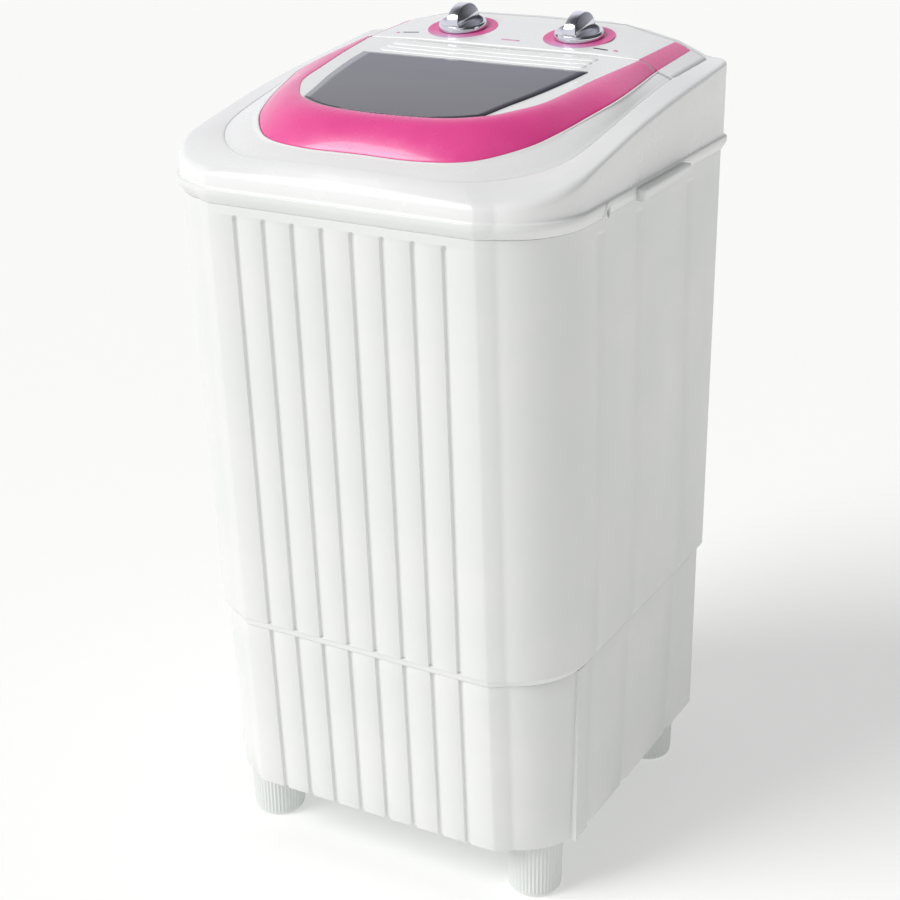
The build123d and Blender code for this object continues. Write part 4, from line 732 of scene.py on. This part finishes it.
def make_lid_frame():
    """White lid moulding: flange with its edge and bead, shoulder under the trim, frame round the window."""
    edge = walk(smooth_curve(SEAM), LINE_PLACES)
    outer = walk(smooth_curve(TRIM_OUTER), LINE_PLACES)
    inner = walk(smooth_curve(TRIM_INNER), LINE_PLACES)
    bm = bmesh.new()
    rows = [inset(edge, 0.9, drop) for drop in FLANGE_EDGE_DROPS]
    rows += [inset(edge, 1.05, 0.6), inset(edge, 1.5, 0.15), inset(edge, 2.3, 0.0)]
    rows += [between(inset(edge, 2.3), outer, share, 0.5 * sin(pi * share))
             for share in (0.15, 0.35, 0.55, 0.75, 0.9)]
    rows += [inset(outer, inward, -up) for inward, up in BEAD]
    rows += [shoulder_row(outer, inner, share, -TRIM_T) for share in steps(0.06, 0.98, 14)]
    add_skin(bm, [both_sides(row) for row in rows])
    opening, border = window_lines()
    lift = Vector((0, 0, 1))
    rows = [[p - lift * (6 if p.y > HINGE_LINE - 0.01 else 1.8) for p in border],
            [p - lift * 0.5 for p in border]]
    rows += [between(border, opening, share) for share in (0.012, 0.035, 0.2, 0.4, 0.6, 0.8, 0.95)]
    rows += [[p + lift * up for p in opening] for up in (0.0, -0.4, -LIP_DROP)]
    rows.append([p + (Vector((0, LID_MIDDLE_Y, p.z)) - p) * LIP_LEAN - lift * LIP_DROP for p in opening])
    add_skin(bm, [ring(row) for row in rows], closed=True)
    piece("lid_moulding", bm, "lid", finishes["cover_white"], 1.8, ["lid_frame"])


# Pink band from its outer to its inner edge: share of its width, height over the shoulder
BAND_SHAPE = ((0.0, -1.2), (0.0, 0.1), (0.006, 0.35), (0.02, 0.5), *((s, 0.5) for s in steps(0.06, 0.94, 20)),
              (0.975, 0.42), (0.992, 0.2), (1.0, -0.1), (1.0, -1.2))


def make_lid_trim():
    """Pink band over the lid's shoulder with rolled edges."""
    outer = inset(walk(smooth_curve(TRIM_OUTER), LINE_PLACES), 0.6)
    inner = walk(smooth_curve(TRIM_INNER), LINE_PLACES)
    rows = [shoulder_row(outer, inner, share, lift) for share, lift in BAND_SHAPE]
    bm = bmesh.new()
    add_skin(bm, [both_sides(row) for row in rows])
    piece("lid_trim_band", bm, "lid", finishes["trim_pink"], 1.0, ["lid_trim"])


def make_window():
    """Smoked window plate, slightly crowned."""
    opening, _ = window_lines()
    rear_y, corner_x = opening[0].y, WINDOW_SIDE[0][0]
    edge = [point for point in opening if point.y < rear_y - 1 or point.x > corner_x - 1]
    front_y, depth = edge[-1].y, edge[0].y - edge[-1].y
    rows = []
    for point in edge:
        row = []
        for share in steps(-1, 1, 25):
            crown = 0.5 * (1 - share * share) * sin(pi * (point.y - front_y) / depth)
            row.append(Vector((point.x * share, point.y, point.z - 0.6 + crown)))
        rows.append(row)
    bm = bmesh.new()
    add_skin(bm, rows)
    piece("lid_window_plate", bm, "lid", finishes["window_smoke"], 1.6, ["lid_window"])


RIB_SUNK = 0.3                       # how far a rib's edges lie under the surface


def add_rib(bm, half_length, y, half_width, height, surface):
    """Rounded rib across the machine, lying on a surface."""
    ends = [half_length - half_width * (1 - sin(radians(a))) for a in steps(0, 90, 7)]
    places = [-x for x in reversed(ends)] + [half_length * s for s in (-0.6, -0.3, 0, 0.3, 0.6)] + ends
    rows = []
    for angle in steps(0, 180, 11):
        row = []
        for x in places:
            over = max(abs(x) - (half_length - half_width), 0) / half_width
            size = max(1 - over * over, 0) ** 0.5
            spot_y = y - half_width * size * cos(radians(angle))
            rise = (height + RIB_SUNK) * size * sin(radians(angle))
            row.append(Vector((x, spot_y, surface(x, spot_y) - RIB_SUNK + rise)))
        rows.append(row)
    add_skin(bm, rows)


def make_lid_ribs():
    """Three ribs across the lid behind the window."""
    bm = bmesh.new()
    for y in (70, 83, 96):
        add_rib(bm, 116, y, 5.2, 1.9, top_z)
    piece("lid_ribs", bm, "lid", finishes["cover_white"])


def add_mark(bm, left, right, front, rear):
    """Thin printed mark on the control panel."""
    made = bmesh.ops.create_grid(bm, x_segments=8, y_segments=3, size=0.5)["verts"]
    bmesh.ops.transform(bm, matrix=Matrix.Diagonal((right - left, rear - front, 1, 1)), verts=made)
    for vert in made:
        across = vert.co.y / (rear - front) * 2
        vert.co.x *= 1 - 0.35 * (rear - front) / (right - left) * across * across
        vert.co.x += (left + right) / 2
        vert.co.y += (front + rear) / 2
        vert.co.z = panel_z(vert.co.x, vert.co.y) + MARK_T


def make_marks():
    """Plain printed dashes and dots beside the controls."""
    pink, dark = bmesh.new(), bmesh.new()
    for left, right, front, rear in ((-132.4, -128.4, 127.4, 131.4), (-8, 13, 128.3, 130.2),
                                     (118.6, 123.4, 126.2, 129.6)):
        add_mark(pink, left, right, front, rear)
    for left, right, front, rear in ((-125, -106, 130.0, 131.8), (97, 113, 125.6, 127.6)):
        add_mark(dark, left, right, front, rear)
    piece("panel_marks_pink", pink, "housing", finishes["dial_foil"], MARK_T)
    piece("panel_marks_dark", dark, "housing", finishes["black_plastic"], MARK_T)


# Pink strip across: share of its width, height over the panel
STRIP_SHAPE = ((0.0, -1.0), (0.0, 0.1), (0.03, 0.35), (0.1, 0.5), (0.3, 0.9), (0.5, 1.1), (0.7, 0.9),
               (0.9, 0.5), (0.97, 0.35), (1.0, 0.1), (1.0, -1.0))
# Pink strip from front to rear: place, how far its rounded ends drop
STRIP_ROWS = ((PANEL_FRONT + 0.3, 1.5), (PANEL_FRONT + 0.3, 0.2), (PANEL_FRONT + 0.8, -0.3),
              (PANEL_FRONT + 2, -0.5), *((y, -0.5) for y in steps(124, 192, 6)), (196.5, -0.5),
              (198.0, -0.35), (198.8, 0.1), (198.9, 1.2))
STRIP_OUTER_X = 172.4
STRIP_CROWN = 1.2


def make_panel_trim(side):
    """Pink strip on the panel's shoulder that carries on the lid's band."""
    name = "left" if side < 0 else "right"
    rows = []
    for y, drop in STRIP_ROWS:
        row = []
        inner_x = mix(153.2, 155.2, (y - PANEL_FRONT) / 90)
        for share, lift in STRIP_SHAPE:
            x = mix(inner_x, STRIP_OUTER_X, share)
            z = mix(panel_z(inner_x, y), panel_z(STRIP_OUTER_X, y), share)
            row.append(Vector((side * x, y, z + min(lift, STRIP_CROWN - drop) - max(drop, 0))))
        rows.append(row if side > 0 else list(reversed(row)))
    bm = bmesh.new()
    add_skin(bm, rows)
    bmesh.ops.reverse_faces(bm, faces=bm.faces)
    piece("panel_trim_strip_" + name, bm, "housing", finishes["trim_pink"],
          replaces=["panel_trim_" + name])


make_cabinet()
make_base()
make_collar()
make_cover()
make_lid_frame()
make_lid_trim()
make_window()
make_lid_ribs()
make_marks()
for side in (-1, 1):
    make_panel_trim(side)


# ---------------------------------------------------------------- controls

# Knob's dish from its middle out: radius, height
DISH_PROFILE = ((0.0, 4.4), (10, 4.2), (17, 4.3), (20.5, 5.2), (22.6, 6.9), (23.6, 7.3), (24.6, 6.9),
                (25.2, 5.6), (25.4, 3.0), (25.5, 1.4), (25.0, 1.1))
GRIP_HALF_LENGTH, GRIP_HALF_WIDTH = 24.0, 8.0
GRIP_FOOT, GRIP_SHOULDER, GRIP_RISE = 3.0, 5.0, 20.5
GRIP_TAPER = 0.28                    # share of its width that the grip loses towards its top


def knob_frame(name):
    """Place of a control on the panel with Z along its shaft."""
    joint = next(j for j in frame["joints"] if j["name"] == name)
    up = Vector(joint["axis"])
    spot = Vector(joint["pos_m"]) / MM
    return Matrix.Translation(spot) @ up.to_track_quat("Z", "Y").to_matrix().to_4x4()


def add_knob_base(bm):
    """Dished round base with a bright rim."""
    verts = [bm.verts.new((radius, 0, z)) for radius, z in DISH_PROFILE]
    edges = [bm.edges.new(pair) for pair in zip(verts, verts[1:])]
    bmesh.ops.spin(bm, geom=verts + edges, cent=(0, 0, 0), axis=(0, 0, 1), angle=2 * pi, steps=64,
                   use_merge=True)
    bmesh.ops.remove_doubles(bm, verts=bm.verts, dist=WELD)
    bmesh.ops.recalc_face_normals(bm, faces=bm.faces)


def add_knob_grip(bm):
    """Arched bar across the base, narrower at its top; it comes first in the knob's mesh."""
    outline = [(-GRIP_HALF_LENGTH, GRIP_FOOT)]
    outline += [(-GRIP_HALF_LENGTH * cos(radians(a)), GRIP_SHOULDER + GRIP_RISE * sin(radians(a)) ** 0.8)
                for a in steps(4, 176, 25)]
    outline.append((GRIP_HALF_LENGTH, GRIP_FOOT))
    face = bm.faces.new([bm.verts.new((-GRIP_HALF_WIDTH, y, z)) for y, z in outline])
    made = bmesh.ops.extrude_face_region(bm, geom=[face])["geom"]
    verts = [item for item in made if isinstance(item, bmesh.types.BMVert)]
    bmesh.ops.translate(bm, vec=(2 * GRIP_HALF_WIDTH, 0, 0), verts=verts)
    for vert in bm.verts:
        vert.co.x *= 1 - GRIP_TAPER * ease((vert.co.z - GRIP_SHOULDER) / 22)
    rims = [edge for edge in bm.edges if abs(edge.verts[0].co.x - edge.verts[1].co.x) < 3]
    bmesh.ops.bevel(bm, geom=rims, offset=1.1, segments=3, profile=0.5, affect="EDGES", material=-1)


def make_knob(joint, node_name, body):
    """Chrome control knob."""
    bm = bmesh.new()
    add_knob_grip(bm)
    bmesh.ops.recalc_face_normals(bm, faces=bm.faces)
    add_knob_base(bm)
    bmesh.ops.transform(bm, matrix=knob_frame(joint), verts=bm.verts)
    piece(node_name + "_bright", bm, body, finishes["knob_chrome"], replaces=[node_name])


make_knob("timer_turn", "timer_knob", "timer_control")
make_knob("selector_turn", "selector_knob", "selector_control")


# ---------------------------------------------------------------- grips and screws

# Oval rows of a screw pocket and of its screw: half width, half height, distance from the middle plane
POCKET_ROWS = ((5.4, 8.0, 211), (5.4, 8.0, 215.2), (5.2, 7.8, 215.8), (4.8, 7.4, 216.1),
               (3.4, 6.0, 216.1), (3.0, 5.6, 215.8), (2.8, 5.4, 215.3), (2.7, 5.3, 213.2))
SCREW_ROWS = ((2.9, 5.5, 213.0), (2.9, 5.5, 214.1), (2.4, 4.9, 214.3), (0.001, 0.001, 214.3))


def make_grip(side):
    """Carrying ledge on the collar, open underneath."""
    name = "left" if side < 0 else "right"
    low, high = corners("carry_grip_" + name)
    bm = bmesh.new()
    bmesh.ops.create_cube(bm, size=1.0)
    bmesh.ops.scale(bm, vec=high - low, verts=bm.verts)
    bmesh.ops.translate(bm, vec=(low + high) / 2, verts=bm.verts)
    wall_x = low.x if side > 0 else high.x
    gone = [f for f in bm.faces if f.normal.z < -0.5 or abs(f.calc_center_median().x - wall_x) < 0.1]
    bmesh.ops.delete(bm, geom=gone, context="FACES")
    edges = [e for e in bm.edges if not e.is_boundary]
    bmesh.ops.bevel(bm, geom=edges, offset=2.6, segments=5, profile=0.5, affect="EDGES", material=-1)
    piece("carry_grip_ledge_" + name, bm, "housing", finishes["shell_white"], 2.2,
          ["carry_grip_" + name])


def add_boss(bm, side, profile):
    """Oval boss on the collar's side from (half width, half height, x) rows."""
    rows = []
    for half_y, half_z, x in profile:
        rows.append([Vector((side * x, SCREW_Y + side * half_y * cos(a), SCREW_Z + half_z * sin(a)))
                     for a in steps(0, 2 * pi, 33)[:-1]])
    add_skin(bm, rows, closed=True)


def make_screws():
    """Oval screw pockets through the collar, one on each side, and the dark screws in them."""
    bosses, screws = bmesh.new(), bmesh.new()
    for side in (-1, 1):
        add_boss(bosses, side, POCKET_ROWS)
        add_boss(screws, side, SCREW_ROWS)
    piece("collar_screw_pockets", bosses, "housing", finishes["shell_white"])
    piece("collar_screw_heads", screws, "housing", finishes["screw_zinc"],
          replaces=["collar_screws"])


make_screws()
for side in (-1, 1):
    make_grip(side)
dress_cad_nodes()


# ---------------------------------------------------------------- stage

CAMERA_PLACE = (0.8581, -1.5439, 1.1554)         # metres
CAMERA_TURN, CAMERA_HEIGHT, CAMERA_ROLL = 29.108, 22.674, -0.665
SENSOR_MM, LENS_MM = 36.0, 72.672
FLOOR_HALF = 20.0                                # metres
FLOOR_DROP = 0.0005


def make_floor():
    """Plain pale floor."""
    bm = bmesh.new()
    bmesh.ops.create_grid(bm, x_segments=1, y_segments=1, size=FLOOR_HALF)
    mesh = bpy.data.meshes.new("studio_floor")
    bm.to_mesh(mesh)
    bm.free()
    floor = bpy.data.objects.new("studio_floor", mesh)
    bpy.context.scene.collection.objects.link(floor)
    floor.location.z = -FLOOR_DROP
    paint, _, shader, _ = finish_of("studio_floor_paint", "#E2E2E0", 0.9)
    shader.inputs["Specular IOR Level"].default_value = 0.0
    shader.inputs["Emission Color"].default_value = linear("#FFFFFE")
    shader.inputs["Emission Strength"].default_value = 0.33
    mesh.materials.append(paint)


def make_sun(name, towards, strength, angle):
    """Large soft light that shines from one direction."""
    lamp = bpy.data.lights.new(name, "SUN")
    lamp.energy = strength
    lamp.angle = radians(angle)
    obj = bpy.data.objects.new(name, lamp)
    obj.rotation_euler = Vector(towards).to_track_quat("Z", "Y").to_euler()
    bpy.context.scene.collection.objects.link(obj)


def make_sky():
    """Pale surroundings: white behind the machine, darker to the right and overhead in its gloss."""
    world = bpy.data.worlds.new("studio")
    bpy.context.scene.world = world
    world.use_nodes = True
    tree = world.node_tree
    tree.nodes.clear()
    towards = node(tree, "ShaderNodeTexCoord").outputs["Generated"]
    direction = node(tree, "ShaderNodeSeparateXYZ", {}, {"Vector": towards})
    right = node(tree, "ShaderNodeMapRange",
                 {"From Min": 0.1, "From Max": 0.6, "To Min": 1.0, "To Max": 0.08},
                 {"Value": direction.outputs["X"]})
    above = node(tree, "ShaderNodeMapRange",
                 {"From Min": 0.6, "From Max": 0.92, "To Min": 1.0, "To Max": 0.12},
                 {"Value": direction.outputs["Z"]})
    mirrored_light = node(tree, "ShaderNodeMath", {"operation": "MULTIPLY"},
                          {0: right.outputs[0], 1: above.outputs[0]})
    soft = node(tree, "ShaderNodeBackground", {"Color": linear("#F5F6F8"), "Strength": 0.42})
    seen = node(tree, "ShaderNodeBackground", {"Color": linear("#F2F3FA")},
                {"Strength": mirrored_light.outputs[0]})
    backdrop = node(tree, "ShaderNodeBackground", {"Color": linear("#FDFDFC"), "Strength": 1.0})
    rays = node(tree, "ShaderNodeLightPath")
    inner = node(tree, "ShaderNodeMixShader", {}, {0: rays.outputs["Is Glossy Ray"], 1: soft.outputs[0],
                                                   2: seen.outputs[0]})
    both = node(tree, "ShaderNodeMixShader", {}, {0: rays.outputs["Is Camera Ray"], 1: inner.outputs[0],
                                                  2: backdrop.outputs[0]})
    node(tree, "ShaderNodeOutputWorld", {}, {"Surface": both.outputs[0]})


def make_camera():
    """Camera at three-quarter view from the right, a little above."""
    turn, height, roll = radians(CAMERA_TURN), radians(CAMERA_HEIGHT), radians(CAMERA_ROLL)
    back = Vector((sin(turn) * cos(height), -cos(turn) * cos(height), sin(height)))
    level_right = Vector((cos(turn), sin(turn), 0))
    level_up = back.cross(level_right)
    right = level_right * cos(roll) + level_up * sin(roll)
    up = level_up * cos(roll) - level_right * sin(roll)
    lens = bpy.data.cameras.new("camera")
    lens.sensor_width = SENSOR_MM
    lens.lens = LENS_MM
    camera = bpy.data.objects.new("camera", lens)
    turned = Matrix((right, up, back)).transposed().to_4x4()
    camera.matrix_world = Matrix.Translation(Vector(CAMERA_PLACE)) @ turned
    bpy.context.scene.collection.objects.link(camera)
    bpy.context.scene.camera = camera


make_floor()
make_sky()
make_sun("key", (-0.5, -0.62, 0.7), 2.05, 32)
make_camera()
bpy.context.scene.view_settings.view_transform = "Standard"
